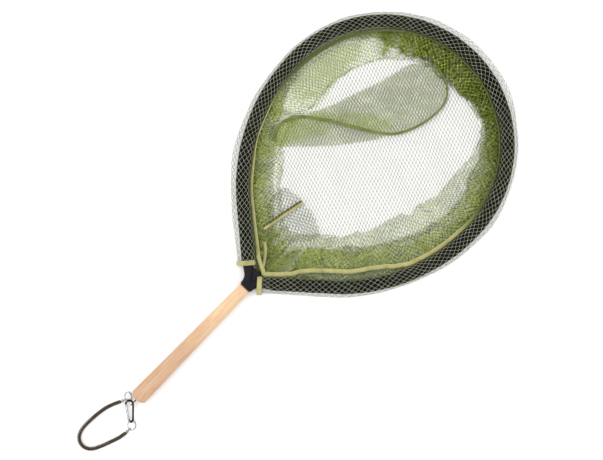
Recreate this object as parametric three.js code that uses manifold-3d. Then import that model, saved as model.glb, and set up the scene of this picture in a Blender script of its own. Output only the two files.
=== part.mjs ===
// A teardrop wading net with a wooden handle, a foam-covered hoop, a collapsed mesh bag
// and a coiled lanyard clipped to the butt. Millimetres, +Z up, lying on the plane z = 0.
// +X runs along the handle towards the hoop. The origin is the middle of the handle's underside.
import * as THREE from 'three';
import { mergeVertices } from 'three/addons/utils/BufferGeometryUtils.js';
import Module from 'manifold-3d';

const wasm = await Module();
wasm.setup();

const deg = THREE.MathUtils.degToRad;

// Driving dimensions
const clearance = 0.3;

const handleLength = 242;
const handleFrontWidth = 18.5;
const handleButtWidth = 26;
const handleThickness = 22;
const handleEdgeRadius = 6;
const handleButtDepth = 6;
const handleButtEase = 3;
const handleButtArc = deg(70);
const gripStation = 80;

const tubeDiameter = 6;
const tubeWall = 0.8;
const tubeInsert = 52;
const legSpacing = 8.4;
const hoopTipRadius = 193;
const hoopSideRadius = 285;
const legAngle = deg(49);
const throatBendRadius = 24;
const throatStraight = 3;

const foamDiameter = 20;
const netThickness = 0.7;
const sleeveSlack = 6;
const bootLength = 38;
const bootEndDiameter = 17.6;
const bootWaistDiameter = 13.4;
const bootBaseWidth = 20;
const bootBaseHeight = 20.4;
const bootBaseLength = 9;
const bootNoseLength = 3.6;
const bootCollarTrim = 4;
const bootNoseTrim = 8;
const bootWaistShare = 0.83;
const bindingWidth = 6.5;
const bindingFlare = 1.2;
const sleeveLeftStop = 41;
const sleeveRightStop = 25;

const bagCentreReach = 285;
const wallRimHeight = 12.5;
const wallShoulderHeight = 11.5;
const wallKneeHeight = 7;
const wallShoulderInset = 14;
const wallKneeInset = 28;
const wallFootInset = 38;
const panelThickness = 1;
const meshPitch = 32;
const meshStrand = 3.2;
const wallGapsPerSide = 12;
const wallRimStrand = 5;
const wallFootStrand = 4;
const tapeWidth = 7;
const tapeThickness = 0.8;
const seamTapeWidth = 3.4;
const tabWidth = 7;

const eyeRadius = 4;
const eyeWire = 1.6;
const eyeStandOff = 3;
const eyeShankDiameter = 2.6;
const eyeShankLength = 16;

const barDiameter = 3;
const clipWideRadius = 6.1;
const clipNarrowRadius = 3.7;
const clipReach = 24;
const clipNarrowShift = 2.3;
const clipYaw = deg(-36);
const clipRoll = deg(-20);
const eyeCrossing = deg(8);
const clipSeatDrop = 0.8;
const gateDiameter = 3.4;
const tangThickness = 1.1;
const tangTurn = deg(72);
const tangLap = deg(14);
const pivotDiameter = 1.1;
const gateBoreDiameter = 2;
const gateBoreDepth = 9;
const plungerDiameter = 1.3;
const plungerLength = 2.4;
const springWire = 0.36;
const springDiameter = 1.5;
const springCurls = 6;

const ringRadius = 7.8;
const ringWire = 1;
const ringTurnGap = 0.45;
const ringPlay = 0.6;
const ringStep = deg(35);
const lowerRingLean = deg(66);
const upperRingLean = deg(75);
const lowerEndAngle = deg(45);
const upperEndAngle = deg(112);
const stemDip = deg(8);

const endEyeRadius = 2.5;
const endEyeWire = 1.3;
const endCapLength = 4;
const endCapDiameter = 5.2;
const cordDiameter = 1.8;
const coilDiameter = 6.2;
const coilCurls = 66;

// The lanyard's lie on the ground, from the handle's butt: its two ends join the split rings.
const lanyardRoute = [
  [-30, 20.6, 11],
  [-42, 24.8, 8.4],
  [-55, 27.2, 5.8],
  [-68, 28.6, 4],
  [-80, 29.2, 3.5],
  [-91, 28.8, 3.5],
  [-101, 26, 3.5],
  [-107.6, 20.4, 3.5],
  [-110.8, 12.8, 3.5],
  [-110.2, 4.8, 3.5],
  [-106, -2.2, 3.5],
  [-99, -7.4, 3.5],
  [-90.5, -11.4, 3.5],
  [-81, -15.2, 4],
  [-71, -18.8, 5.4],
  [-61, -22, 7.6],
];

// The bound edge of the bag's folded-over layer, from the throat.
const seamRoute = [
  [193, 128], [210, 136], [230, 136], [252, 121], [277, 86], [293, 59], [309, 31],
  [333, 0], [369, -18], [408, -24], [432, -17], [447, 1], [455, 27],
];

// The sewn tab of the bag's side seam, from the throat.
const tabRoute = [[86, 44], [103, 40.5], [121, 37], [140, 33], [158, 29]];

// How far the hem tape lies inside the bag's rim, by the distance along the hoop from its tip.
const hemLie = [
  [-655, 1], [-618, 6], [-574, 16], [-532, 21], [-476, 17], [-432, 4], [-389, 1],
  [122, 1], [216, 4], [243, 2], [311, 1], [640, 1],
];

// Facet counts
const tubeSides = 8;
const foamSides = 12;
const tipSteps = 12;
const sideSteps = 7;
const bendSteps = 4;
const cornerSteps = 3;
const buttSteps = 4;
const curlSteps = 8;
const curlSides = 5;
const ringSteps = 16;
const tabSteps = 18;
const tabSamples = 6;
const seamSteps = 2 * seamRoute.length;
const eyeSteps = 20;
const endEyeSteps = 14;
const barSides = 8;
const barSteps = 30;
const tangSteps = 5;
const rodSides = 12;
const pinSides = 10;
const plungerSides = 8;

// Cutting tools run past the faces they cut by this much, and points this close are one.
const overrun = 1;
const samePoint = 1e-4;

// Derived sizes
const axisHeight = foamDiameter / 2 + clearance + netThickness;
const throatX = handleLength / 2;
const bore = tubeDiameter / 2 + clearance;
const sideEndY = hoopTipRadius - hoopSideRadius * (1 - Math.cos(legAngle));
const bendStartY = legSpacing / 2 + throatBendRadius * (1 - Math.cos(legAngle));
const straightLength = (sideEndY - bendStartY) / Math.sin(legAngle);
const tipLength = hoopTipRadius * Math.PI / 2;
const sideLength = hoopSideRadius * legAngle;
const bendLength = throatBendRadius * legAngle;
const sideEnd = tipLength + sideLength;
const bendStart = sideEnd + straightLength;
const bendEnd = bendStart + bendLength;
const handleStart = bendEnd + throatStraight;
const bendStartX = throatStraight + throatBendRadius * Math.sin(legAngle);
const sideEndX = bendStartX + straightLength * Math.cos(legAngle);
const hoopCentreX = sideEndX + hoopSideRadius * Math.sin(legAngle);
const foamEnd = handleStart - bootLength;
const sleeveLeftEnd = handleStart - sleeveLeftStop;
const sleeveRightEnd = handleStart - sleeveRightStop;

function material(color, roughness, metalness = 0) {
  return new THREE.MeshStandardMaterial({ color, roughness, metalness });
}

const wood = () => material(0xd8b492, 0.6);
const blackFoam = () => material(0x1b1b1d, 0.9);
const greenNet = () => material(0x96a54b, 0.8);
const oliveTape = () => material(0xa9a467, 0.85);
const blackMetal = () => material(0x17181a, 0.4, 0.6);
const brightMetal = () => material(0xc4c6c8, 0.25, 1);
const bronzeMetal = () => material(0x8a6f4a, 0.4, 0.9);
const coilPlastic = () => material(0x4b4132, 0.5);

function mesh(name, geometry, finish) {
  const piece = new THREE.Mesh(geometry, finish);
  piece.name = name;
  return piece;
}

// Joining and cutting

function solidFrom(geometry) {
  const plain = geometry.clone();
  plain.deleteAttribute('normal');
  plain.deleteAttribute('uv');
  const merged = mergeVertices(plain, samePoint);
  const vertProperties = new Float32Array(merged.attributes.position.array);
  const triVerts = new Uint32Array(merged.index.array);
  return new wasm.Manifold(new wasm.Mesh({ numProp: 3, vertProperties, triVerts }));
}

function geometryFrom(solid) {
  const result = solid.getMesh();
  const geometry = new THREE.BufferGeometry();
  geometry.setAttribute('position', new THREE.BufferAttribute(result.vertProperties, 3));
  geometry.setIndex(new THREE.BufferAttribute(result.triVerts, 1));
  geometry.computeVertexNormals();
  return geometry;
}

function join(...geometries) {
  const solids = geometries.map(solidFrom);
  return geometryFrom(solids.reduce((whole, next) => whole.add(next)));
}

function cut(geometry, ...tools) {
  const start = solidFrom(geometry);
  return geometryFrom(tools.map(solidFrom).reduce((whole, tool) => whole.subtract(tool), start));
}

function overlapOf(first, second) {
  return geometryFrom(solidFrom(first).intersect(solidFrom(second)));
}

// Lofting: rings of equal counts become a closed body facing out.

function facingOut(points, faces) {
  const side = new THREE.Vector3();
  let volume = 0;
  for (let k = 0; k < faces.length; k += 3) {
    side.crossVectors(points[faces[k + 1]], points[faces[k + 2]]);
    volume += points[faces[k]].dot(side);
  }
  if (volume < 0) faces.reverse();
  const geometry = new THREE.BufferGeometry().setFromPoints(points);
  geometry.setIndex(faces);
  geometry.computeVertexNormals();
  return geometry;
}

function quad(faces, a, b, c, d) {
  faces.push(a, b, c, a, c, d);
}

function loft(rings) {
  const count = rings[0].length;
  const faces = [];
  for (let i = 0; i + 1 < rings.length; i += 1) {
    for (let k = 0; k < count; k += 1) {
      const next = (k + 1) % count;
      quad(faces, i * count + k, i * count + next, (i + 1) * count + next, (i + 1) * count + k);
    }
  }
  const last = (rings.length - 1) * count;
  for (let k = 1; k + 1 < count; k += 1) {
    faces.push(0, k + 1, k);
    faces.push(last, last + k, last + k + 1);
  }
  return facingOut(rings.flat(), faces);
}

function hollowLoft(outer, inner) {
  const count = outer[0].length;
  const offset = outer.length * count;
  const last = (outer.length - 1) * count;
  const faces = [];
  for (let k = 0; k < count; k += 1) {
    const next = (k + 1) % count;
    for (let i = 0; i + 1 < outer.length; i += 1) {
      const row = i * count;
      quad(faces, row + k, row + next, row + count + next, row + count + k);
      const back = offset + row;
      quad(faces, back + next, back + k, back + count + k, back + count + next);
    }
    quad(faces, k, offset + k, offset + next, next);
    quad(faces, last + next, offset + last + next, offset + last + k, last + k);
  }
  return facingOut([...outer.flat(), ...inner.flat()], faces);
}

function loopLoft(rings) {
  const count = rings[0].length;
  const faces = [];
  rings.forEach((_, i) => {
    const row = i * count;
    const far = ((i + 1) % rings.length) * count;
    for (let k = 0; k < count; k += 1) {
      const next = (k + 1) % count;
      quad(faces, row + k, row + next, far + next, far + k);
    }
  });
  return facingOut(rings.flat(), faces);
}

// A sheet of one thickness under a closed loop of rows of points, with some of its cells left out.
function latticeLoft(rows, thickness, isGap) {
  const points = [];
  const numbers = new Map();
  const at = (i, k, under) => {
    const row = i % rows.length;
    const key = `${row} ${k} ${under}`;
    if (!numbers.has(key)) {
      const point = rows[row][k].clone();
      numbers.set(key, points.push(under ? point.setZ(point.z - thickness) : point) - 1);
    }
    return numbers.get(key);
  };
  const last = rows[0].length - 1;
  const solid = (i, k) => k >= 0 && k < last && !isGap((i + rows.length) % rows.length, k);
  const faces = [];
  const side = (a, b) => quad(faces, at(...a, false), at(...b, false), at(...b, true), at(...a, true));
  rows.forEach((_, i) => {
    for (let k = 0; k < last; k += 1) {
      if (solid(i, k)) {
        const corners = [[i, k], [i + 1, k], [i + 1, k + 1], [i, k + 1]];
        quad(faces, ...corners.map((corner) => at(...corner, false)));
        quad(faces, ...corners.map((corner) => at(...corner, true)).reverse());
        const [a, b, c, d] = corners;
        if (!solid(i, k - 1)) side(b, a);
        if (!solid(i + 1, k)) side(c, b);
        if (!solid(i, k + 1)) side(d, c);
        if (!solid(i - 1, k)) side(a, d);
      }
    }
  });
  return facingOut(points, faces);
}

// A round bar through a list of points, with each ring square to the bar.
function barThrough(points, radius, sides, outward) {
  const rings = points.map((point, i) => {
    const before = points[Math.max(i - 1, 0)];
    const after = points[Math.min(i + 1, points.length - 1)];
    const along = after.clone().sub(before).normalize();
    const first = outward[i].clone().addScaledVector(along, -outward[i].dot(along)).normalize();
    const second = along.clone().cross(first);
    return Array.from({ length: sides }, (_, k) => {
      const turn = (k + 0.5) * 2 * Math.PI / sides;
      return point.clone()
        .addScaledVector(first, radius * Math.cos(turn))
        .addScaledVector(second, radius * Math.sin(turn));
    });
  });
  return loft(rings);
}

// A flat tape along a list of points, with its width level.
function tapeThrough(points, width, thickness, closed = false) {
  const rings = points.map((point, i) => {
    const before = points[closed ? (i + points.length - 1) % points.length : Math.max(i - 1, 0)];
    const after = points[closed ? (i + 1) % points.length : Math.min(i + 1, points.length - 1)];
    const along = after.clone().sub(before).setZ(0).normalize();
    const across = new THREE.Vector3(-along.y, along.x, 0).multiplyScalar(width / 2);
    const lift = new THREE.Vector3(0, 0, thickness);
    const left = point.clone().add(across);
    const right = point.clone().sub(across);
    return [right, left, left.clone().add(lift), right.clone().add(lift)];
  });
  return closed ? loopLoft(rings) : loft(rings);
}

// A prism along +X whose flats lie at the given radius, so that nested ones keep their gap.
function axialPrism(radius, fromX, toX, y, z, sides) {
  const section = flatSided(sides, radius, radius);
  return loft([fromX, toX].map((x) => section.map(([a, b]) => new THREE.Vector3(x, y + a, z + b))));
}

// A section whose flats, not corners, lie at the given radius, with one flat underneath.
// Its outward half can reach further than the rest.
function flatSided(sides, halfOut, halfIn) {
  const corner = 1 / Math.cos(Math.PI / sides);
  return Array.from({ length: sides }, (_, k) => {
    const turn = (k + 0.5) * 2 * Math.PI / sides;
    const across = Math.cos(turn) > 0 ? halfOut : halfIn;
    return [across * corner * Math.cos(turn), halfIn * corner * Math.sin(turn)];
  });
}

// The hoop's centreline

// The point at a distance from the tip, positive on the +Y side, with its outward direction.
function hoopPoint(distance) {
  const s = Math.abs(distance);
  const side = distance < 0 ? -1 : 1;
  let x;
  let y;
  let lean;
  if (s <= tipLength) {
    lean = s / hoopTipRadius - Math.PI / 2;
    x = hoopCentreX - hoopTipRadius * Math.sin(lean);
    y = hoopTipRadius * Math.cos(lean);
  } else if (s <= sideEnd) {
    lean = (s - tipLength) / hoopSideRadius;
    x = hoopCentreX - hoopSideRadius * Math.sin(lean);
    y = hoopTipRadius - hoopSideRadius * (1 - Math.cos(lean));
  } else if (s <= bendStart) {
    lean = legAngle;
    x = sideEndX - (s - sideEnd) * Math.cos(legAngle);
    y = sideEndY - (s - sideEnd) * Math.sin(legAngle);
  } else if (s <= bendEnd) {
    lean = legAngle - (s - bendStart) / throatBendRadius;
    x = throatStraight + throatBendRadius * Math.sin(lean);
    y = legSpacing / 2 + throatBendRadius * (1 - Math.cos(lean));
  } else {
    lean = 0;
    x = handleStart - s;
    y = legSpacing / 2;
  }
  return { x, y: side * y, outX: -Math.sin(lean), outY: side * Math.cos(lean) };
}

// The value at a place, in a straight line between the keys on its two sides.
function between(keys, place) {
  const next = keys.findIndex(([key]) => key >= place);
  if (next < 1) return keys.at(next)[1];
  const [from, low] = keys[next - 1];
  const [to, high] = keys[next];
  return low + (high - low) * (place - from) / (to - from);
}

function spread(from, to, steps) {
  return Array.from({ length: steps + 1 }, (_, k) => from + (to - from) * k / steps);
}

const halfStations = [
  ...spread(0, tipLength, tipSteps),
  ...spread(tipLength, sideEnd, sideSteps),
  ...spread(bendStart, bendEnd, bendSteps),
];

function stationsBetween(from, to) {
  const both = [...halfStations, ...halfStations.map((s) => -s)];
  const inside = both.filter((s) => s > from + clearance && s < to - clearance);
  const sorted = [from, ...inside, to].sort((a, b) => a - b);
  return sorted.filter((s, i) => i === 0 || s - sorted[i - 1] > clearance);
}

function hoopRing(distance, section) {
  const at = hoopPoint(distance);
  return section.map(([out, up]) => (
    new THREE.Vector3(at.x + at.outX * out, at.y + at.outY * out, axisHeight + up)
  ));
}

function hoopRings(from, to, section) {
  return stationsBetween(from, to).map((s) => hoopRing(s, section));
}

// Handle

// A rounded rectangle across the handle, flat on its underside.
function handleRing(x, width, bottom, top, radius) {
  const corners = [[1, 1, 0], [-1, 1, 90], [-1, -1, 180], [1, -1, 270]];
  const middle = (top + bottom) / 2;
  const halfWidth = width / 2 - radius;
  const halfHeight = (top - bottom) / 2 - radius;
  return corners.flatMap(([sideY, sideZ, start]) => (
    spread(deg(start), deg(start + 90), cornerSteps).map((turn) => new THREE.Vector3(
      x,
      sideY * halfWidth + radius * Math.cos(turn),
      middle + sideZ * halfHeight + radius * Math.sin(turn),
    ))
  ));
}

function handleGeometry() {
  const half = handleButtWidth / 2;
  const buttRadius = (half ** 2 + handleButtDepth ** 2) / (2 * handleButtDepth);
  const taper = (x) => {
    const share = -x / (handleLength - handleButtDepth);
    return handleFrontWidth + (handleButtWidth - handleFrontWidth) * share;
  };
  const rings = [0, -gripStation].map((x) => (
    handleRing(x, taper(x), 0, handleThickness, handleEdgeRadius)
  ));
  for (let k = 0; k <= buttSteps; k += 1) {
    const reach = half * Math.cos(handleButtArc * k / buttSteps);
    const x = buttRadius - Math.sqrt(buttRadius ** 2 - reach ** 2) - handleLength;
    const ease = handleButtEase * (1 - reach / half);
    const radius = handleEdgeRadius * (reach / half);
    rings.push(handleRing(x, 2 * reach, ease, handleThickness - ease, radius));
  }
  const legBore = (side) => (
    axialPrism(bore, -tubeInsert - clearance, overrun, side * legSpacing / 2, axisHeight, tubeSides)
  );
  const shankBore = axialPrism(
    eyeShankDiameter / 2 + clearance,
    -handleLength - overrun,
    eyeShankLength + clearance - handleLength,
    0,
    handleThickness / 2,
    tubeSides,
  );
  return cut(loft(rings), legBore(1), legBore(-1), shankBore);
}

// Hoop, foam, boot and net sleeve

function tubeGeometry() {
  const end = handleStart + tubeInsert;
  const outer = hoopRings(-end, end, flatSided(tubeSides, tubeDiameter / 2, tubeDiameter / 2));
  const inside = tubeDiameter / 2 - tubeWall;
  return hollowLoft(outer, hoopRings(-end, end, flatSided(tubeSides, inside, inside)));
}

function foamGeometry() {
  const radius = foamDiameter / 2;
  const outer = hoopRings(-foamEnd, foamEnd, flatSided(foamSides, radius, radius));
  return hollowLoft(outer, hoopRings(-foamEnd, foamEnd, flatSided(foamSides, bore, bore)));
}

function bootLeg(side) {
  const from = foamEnd + clearance;
  const to = handleStart - clearance;
  const rings = stationsBetween(from, to).map((s) => {
    const share = (s - from) / (to - from);
    const waist = Math.sin(Math.PI * Math.min(1, share / bootWaistShare) / 2);
    const radius = (bootEndDiameter + (bootWaistDiameter - bootEndDiameter) * waist) / 2;
    return hoopRing(side * s, flatSided(foamSides, radius, radius));
  });
  return loft(rings);
}

function bootBore(side) {
  const section = flatSided(tubeSides, bore, bore);
  const stations = stationsBetween(foamEnd - overrun, handleStart + overrun);
  return loft(stations.map((s) => hoopRing(side * s, section)));
}

function bootGeometry() {
  const edge = handleEdgeRadius - clearance;
  const base = (x, trim) => handleRing(
    x,
    bootBaseWidth - trim,
    axisHeight - (bootBaseHeight - trim) / 2,
    axisHeight + (bootBaseHeight - trim) / 2,
    edge,
  );
  const collar = loft([
    base(clearance, 0),
    base(bootBaseLength / 2, bootCollarTrim / 4),
    base(bootBaseLength, bootCollarTrim),
    base(bootBaseLength + bootNoseLength, bootNoseTrim),
  ]);
  return cut(join(collar, bootLeg(1), bootLeg(-1)), bootBore(1), bootBore(-1));
}

const sleeveInside = foamDiameter / 2 + clearance;
const sleeveOutside = sleeveInside + netThickness;

function sleeveGeometry(from, to, flare = 0) {
  const outer = flatSided(foamSides, sleeveOutside + sleeveSlack + flare, sleeveOutside);
  const inner = flatSided(foamSides, sleeveInside + sleeveSlack, sleeveInside);
  return hollowLoft(hoopRings(from, to, outer), hoopRings(from, to, inner));
}

// Bag

// The sleeve's flats lie at most this far inside its curve.
const sleeveDip = Math.max(
  (hoopTipRadius - sleeveOutside) * (1 - Math.cos(Math.PI / 4 / tipSteps)),
  (hoopSideRadius - sleeveOutside) * (1 - Math.cos(legAngle / 2 / sideSteps)),
);
const rimOffset = sleeveOutside + clearance + sleeveDip;
const bagCentre = new THREE.Vector3(bagCentreReach, 0, 0);

// The wall is a net of one row of gaps, with a strand across it before, between and after them.
// Its stations are each strand's two edges and the middle of each gap.
const wallGaps = 2 * wallGapsPerSide;
const wallGap = (sleeveLeftEnd + sleeveRightEnd - (wallGaps + 1) * meshStrand) / wallGaps;
const rimStations = Array.from({ length: wallGaps + 1 }, (_, k) => {
  const strand = k * (wallGap + meshStrand) - sleeveRightEnd;
  const stations = [strand, strand + meshStrand, strand + meshStrand + wallGap / 2];
  return k < wallGaps ? stations : stations.slice(0, 2);
}).flat();

// The bag's rim inside the sleeve, and the way from it to the bag's middle.
const rim = rimStations.map((s) => {
  const at = hoopPoint(s);
  return new THREE.Vector3(at.x - at.outX * rimOffset, at.y - at.outY * rimOffset, 0);
});
const inward = rim.map((point) => bagCentre.clone().sub(point).normalize());

const wallFold = [
  [0, wallRimHeight],
  [wallShoulderInset, wallShoulderHeight],
  [wallKneeInset, wallKneeHeight],
  [wallFootInset, clearance + panelThickness],
];

const wallHeight = (inset) => between(wallFold, inset);

const gapFrom = wallRimStrand;
const gapTo = wallFootInset - wallFootStrand;
const wallInsets = [...wallFold.map(([inset]) => inset), gapFrom, gapTo].sort((a, b) => a - b);

function rimPoint(index, inset, height) {
  return rim[index].clone().addScaledVector(inward[index], inset).setZ(height);
}

// The cell between two stations and two insets is a gap, or part of the net's border or strands.
function isWallGap(i, k) {
  const betweenStrands = i < 3 * wallGaps && i % 3 !== 0;
  return betweenStrands && wallInsets[k] >= gapFrom && wallInsets[k + 1] <= gapTo;
}

function wallGeometry(isGap) {
  const rows = rim.map((_, i) => wallInsets.map((inset) => rimPoint(i, inset, wallHeight(inset))));
  return latticeLoft(rows, panelThickness, isGap);
}

const flapHeight = clearance * 2 + panelThickness;
const floorOutline = rim.map((_, i) => rimPoint(i, wallFootInset + clearance, 0));

function insideOf(outline, point, margin) {
  let inside = false;
  let nearest = Infinity;
  outline.forEach((a, i) => {
    const b = outline[(i + 1) % outline.length];
    const onEdge = new THREE.Line3(a, b).closestPointToPoint(point, true, new THREE.Vector3());
    nearest = Math.min(nearest, onEdge.distanceTo(point));
    if (a.y > point.y !== b.y > point.y) {
      if (point.x < a.x + (b.x - a.x) * (point.y - a.y) / (b.y - a.y)) inside = !inside;
    }
  });
  return inside && nearest > margin;
}

function panel(outline, base) {
  const shape = new THREE.Shape(outline.map((point) => new THREE.Vector2(point.x, point.y)));
  const geometry = new THREE.ExtrudeGeometry(shape, { depth: panelThickness, bevelEnabled: false });
  return geometry.translate(0, 0, base);
}

// The gaps of a flat net, its strands at 45 degrees to the handle, that lie inside all the outlines.
function netGaps(...outlines) {
  const gap = meshPitch - meshStrand;
  const reach = Math.ceil(hoopTipRadius * 2 / meshPitch);
  const corners = [[-1, 0], [0, -1], [1, 0], [0, 1]].map(([x, y]) => (
    new THREE.Vector3(x, y, 0).multiplyScalar(gap * Math.SQRT1_2)
  ));
  const gaps = [];
  for (let i = -reach; i <= reach; i += 1) {
    for (let j = -reach; j <= reach; j += 1) {
      const place = new THREE.Vector3(i - j, i + j, 0).multiplyScalar(meshPitch * Math.SQRT1_2);
      place.add(bagCentre);
      const around = corners.map((corner) => corner.clone().add(place));
      if (outlines.every((outline) => around.every((corner) => insideOf(outline, corner, meshStrand)))) {
        const opening = new THREE.BoxGeometry(gap, gap, (flapHeight + panelThickness + overrun) * 2);
        gaps.push(opening.rotateZ(Math.PI / 4).translate(place.x, place.y, 0));
      }
    }
  }
  return gaps;
}

function floorGeometry() {
  return cut(panel(floorOutline, clearance), ...netGaps(floorOutline));
}

const seamCurve = new THREE.SplineCurve(seamRoute.map(([x, y]) => new THREE.Vector2(x, y)));
const seamLine = seamCurve.getPoints(seamSteps).map(({ x, y }) => new THREE.Vector3(x, y, 0));

function flapGeometry() {
  const farSide = hoopTipRadius + foamDiameter;
  const beyond = new THREE.Vector3(bagCentreReach + hoopTipRadius, farSide, 0);
  const back = new THREE.Vector3(seamRoute[0][0], farSide, 0);
  const folded = [...seamLine, beyond, back];
  const trimmed = rim.map((_, i) => rimPoint(i, wallFootInset + clearance * 3, 0));
  const flap = overlapOf(panel(folded, flapHeight), panel(trimmed, flapHeight));
  return cut(flap, ...netGaps(folded, trimmed));
}

function seamTapeGeometry() {
  const height = flapHeight + panelThickness + clearance;
  const onFloor = seamLine.filter((point) => insideOf(floorOutline, point, seamTapeWidth));
  const lifted = onFloor.map((point) => point.clone().setZ(height));
  return tapeThrough(lifted, seamTapeWidth, tapeThickness);
}

// The hem tape lies level on the wall, and sags towards the bag's middle where it is slack.
function hemTapeGeometry() {
  const points = rimStations.map((s, i) => {
    const outerEdge = between(hemLie, s);
    return rimPoint(i, outerEdge + tapeWidth / 2, wallHeight(outerEdge) + clearance);
  });
  return tapeThrough(points, tapeWidth, tapeThickness, true);
}

function groundHeight(point, pieces) {
  const above = new THREE.Vector3(point.x, point.y, wallRimHeight + overrun);
  const ray = new THREE.Raycaster(above, new THREE.Vector3(0, 0, -1));
  const hits = ray.intersectObjects(pieces);
  const floorTop = clearance + panelThickness;
  return hits.length > 0 ? Math.max(floorTop, hits[0].point.z) : floorTop;
}

function tabGeometry(pieces) {
  const route = new THREE.SplineCurve(tabRoute.map(([x, y]) => new THREE.Vector2(x, y)));
  const lifted = route.getPoints(tabSteps).map(({ x, y }) => {
    const point = new THREE.Vector3(x, y, 0);
    const edges = spread(-1, 1, tabSamples).map((side) => (
      groundHeight(point.clone().setY(point.y + side * tabWidth / 2), pieces)
    ));
    return point.clone().setZ(Math.max(...edges) + clearance);
  });
  return tapeThrough(lifted, tabWidth, panelThickness);
}

// Butt eye

const eyeX = -(eyeStandOff + eyeWire / 2 + eyeRadius);
const eyeCentre = new THREE.Vector3(eyeX, 0, handleThickness / 2);

function eyeGeometry() {
  const loop = new THREE.TorusGeometry(eyeRadius, eyeWire / 2, barSides, eyeSteps).rotateX(Math.PI / 2);
  loop.translate(eyeCentre.x, 0, eyeCentre.z);
  const shank = axialPrism(
    eyeShankDiameter / 2,
    eyeX + eyeRadius,
    eyeShankLength,
    0,
    eyeCentre.z,
    tubeSides,
  );
  return join(loop, shank);
}

// Carabiner, in its own plane: x across towards the spine, y along towards its wide end.

const wide = new THREE.Vector2(0, 0);
const narrow = new THREE.Vector2(-clipNarrowShift, -clipReach);
const clipLine = narrow.clone().sub(wide);
const clipHeading = Math.atan2(clipLine.y, clipLine.x);
const clipSpread = Math.acos((clipWideRadius - clipNarrowRadius) / clipLine.length());
const spineTurn = clipHeading + clipSpread;
const gateTurn = clipHeading - clipSpread;

function onCircle(centre, radius, turn) {
  return new THREE.Vector2(centre.x + radius * Math.cos(turn), centre.y + radius * Math.sin(turn));
}

const gateTop = onCircle(wide, clipWideRadius, gateTurn);
const gateFoot = onCircle(narrow, clipNarrowRadius, gateTurn);
const gateAlong = gateTop.clone().sub(gateFoot).normalize();
const gateLength = gateTop.distanceTo(gateFoot);

// A bent bar in the carabiner's plane.
class BarLine extends THREE.Curve {
  constructor(path) {
    super();
    this.path = path;
  }

  getPoint(t, target = new THREE.Vector3()) {
    const at = this.path.getPointAt(t);
    return target.set(at.x, at.y, 0);
  }
}

function roundSection(diameter, sides) {
  const radius = diameter / 2;
  return new THREE.Shape(spread(0, 2 * Math.PI, sides).slice(1).map((turn) => (
    new THREE.Vector2(radius * Math.cos(turn), radius * Math.sin(turn))
  )));
}

function clipFrame() {
  const frame = new THREE.Matrix4();
  const along = new THREE.Vector3(gateAlong.x, gateAlong.y, 0);
  const across = new THREE.Vector3(gateAlong.y, -gateAlong.x, 0);
  frame.makeBasis(across, along, new THREE.Vector3(0, 0, 1));
  frame.setPosition(gateFoot.x, gateFoot.y, 0);
  return frame;
}

// The gate's own frame has y along the gate, from the pivot.
const gateFrame = clipFrame();

function bentBar(path, section, steps) {
  const settings = { steps, bevelEnabled: false, extrudePath: new BarLine(path) };
  return new THREE.ExtrudeGeometry(section, settings);
}

// The bar ends in a flat round tang that the slotted gate straddles.
function clipGeometry() {
  const path = new THREE.Path();
  path.absarc(wide.x, wide.y, clipWideRadius, gateTurn + 2 * Math.PI, spineTurn, true);
  path.absarc(narrow.x, narrow.y, clipNarrowRadius, spineTurn, gateTurn + tangTurn, true);
  const flat = new THREE.Path();
  flat.absarc(narrow.x, narrow.y, clipNarrowRadius, gateTurn + tangTurn + tangLap, gateTurn, true);
  const halfFlat = tangThickness / 2;
  const halfBar = barDiameter / 2;
  const flatSection = new THREE.Shape([
    new THREE.Vector2(-halfFlat, -halfBar),
    new THREE.Vector2(halfFlat, -halfBar),
    new THREE.Vector2(halfFlat, halfBar),
    new THREE.Vector2(-halfFlat, halfBar),
  ]);
  const tang = new THREE.CylinderGeometry(halfBar, halfBar, tangThickness, rodSides);
  tang.rotateX(Math.PI / 2).applyMatrix4(gateFrame);
  const bar = bentBar(path, roundSection(barDiameter, barSides), barSteps);
  const whole = join(bar, bentBar(flat, flatSection, tangSteps), tang);
  return cut(whole, pinHole());
}

function pinHole() {
  const radius = pivotDiameter / 2 + clearance;
  const hole = new THREE.CylinderGeometry(radius, radius, gateDiameter + 2 * overrun, pinSides);
  return hole.rotateX(Math.PI / 2).applyMatrix4(gateFrame);
}

const gateTip = gateLength - clearance;

function gateGeometry() {
  const radius = gateDiameter / 2;
  const round = (size, from, to, sides) => (
    new THREE.CylinderGeometry(size, size, to - from, sides).translate(0, (from + to) / 2, 0)
  );
  const rod = round(radius, -radius, gateTip, rodSides);
  const slotDepth = radius * 2 + clearance * 2;
  const slot = new THREE.BoxGeometry(gateDiameter + 2 * overrun, slotDepth, tangThickness + clearance * 2);
  slot.translate(0, slotDepth / 2 - radius - clearance, 0);
  const springBore = round(gateBoreDiameter / 2, 0, slotDepth - radius + gateBoreDepth, pinSides);
  return cut(cut(rod, slot, springBore).applyMatrix4(gateFrame), pinHole());
}

function pivotGeometry() {
  const radius = pivotDiameter / 2;
  const pin = new THREE.CylinderGeometry(radius, radius, gateDiameter, pinSides);
  return pin.rotateX(Math.PI / 2).applyMatrix4(gateFrame);
}

const plungerFoot = barDiameter / 2 + clearance;

function plungerGeometry() {
  const radius = plungerDiameter / 2;
  const rod = new THREE.CylinderGeometry(radius, radius, plungerLength, plungerSides);
  return rod.translate(0, plungerFoot + plungerLength / 2, 0).applyMatrix4(gateFrame);
}

function helix(radius, curls, rise, steps) {
  const count = curls * steps;
  const outward = spread(0, curls * 2 * Math.PI, count).map((turn) => (
    new THREE.Vector3(Math.cos(turn), 0, Math.sin(turn))
  ));
  const points = outward.map((way, i) => (
    way.clone().multiplyScalar(radius).setY(rise * i / count)
  ));
  return { points, outward };
}

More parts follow.
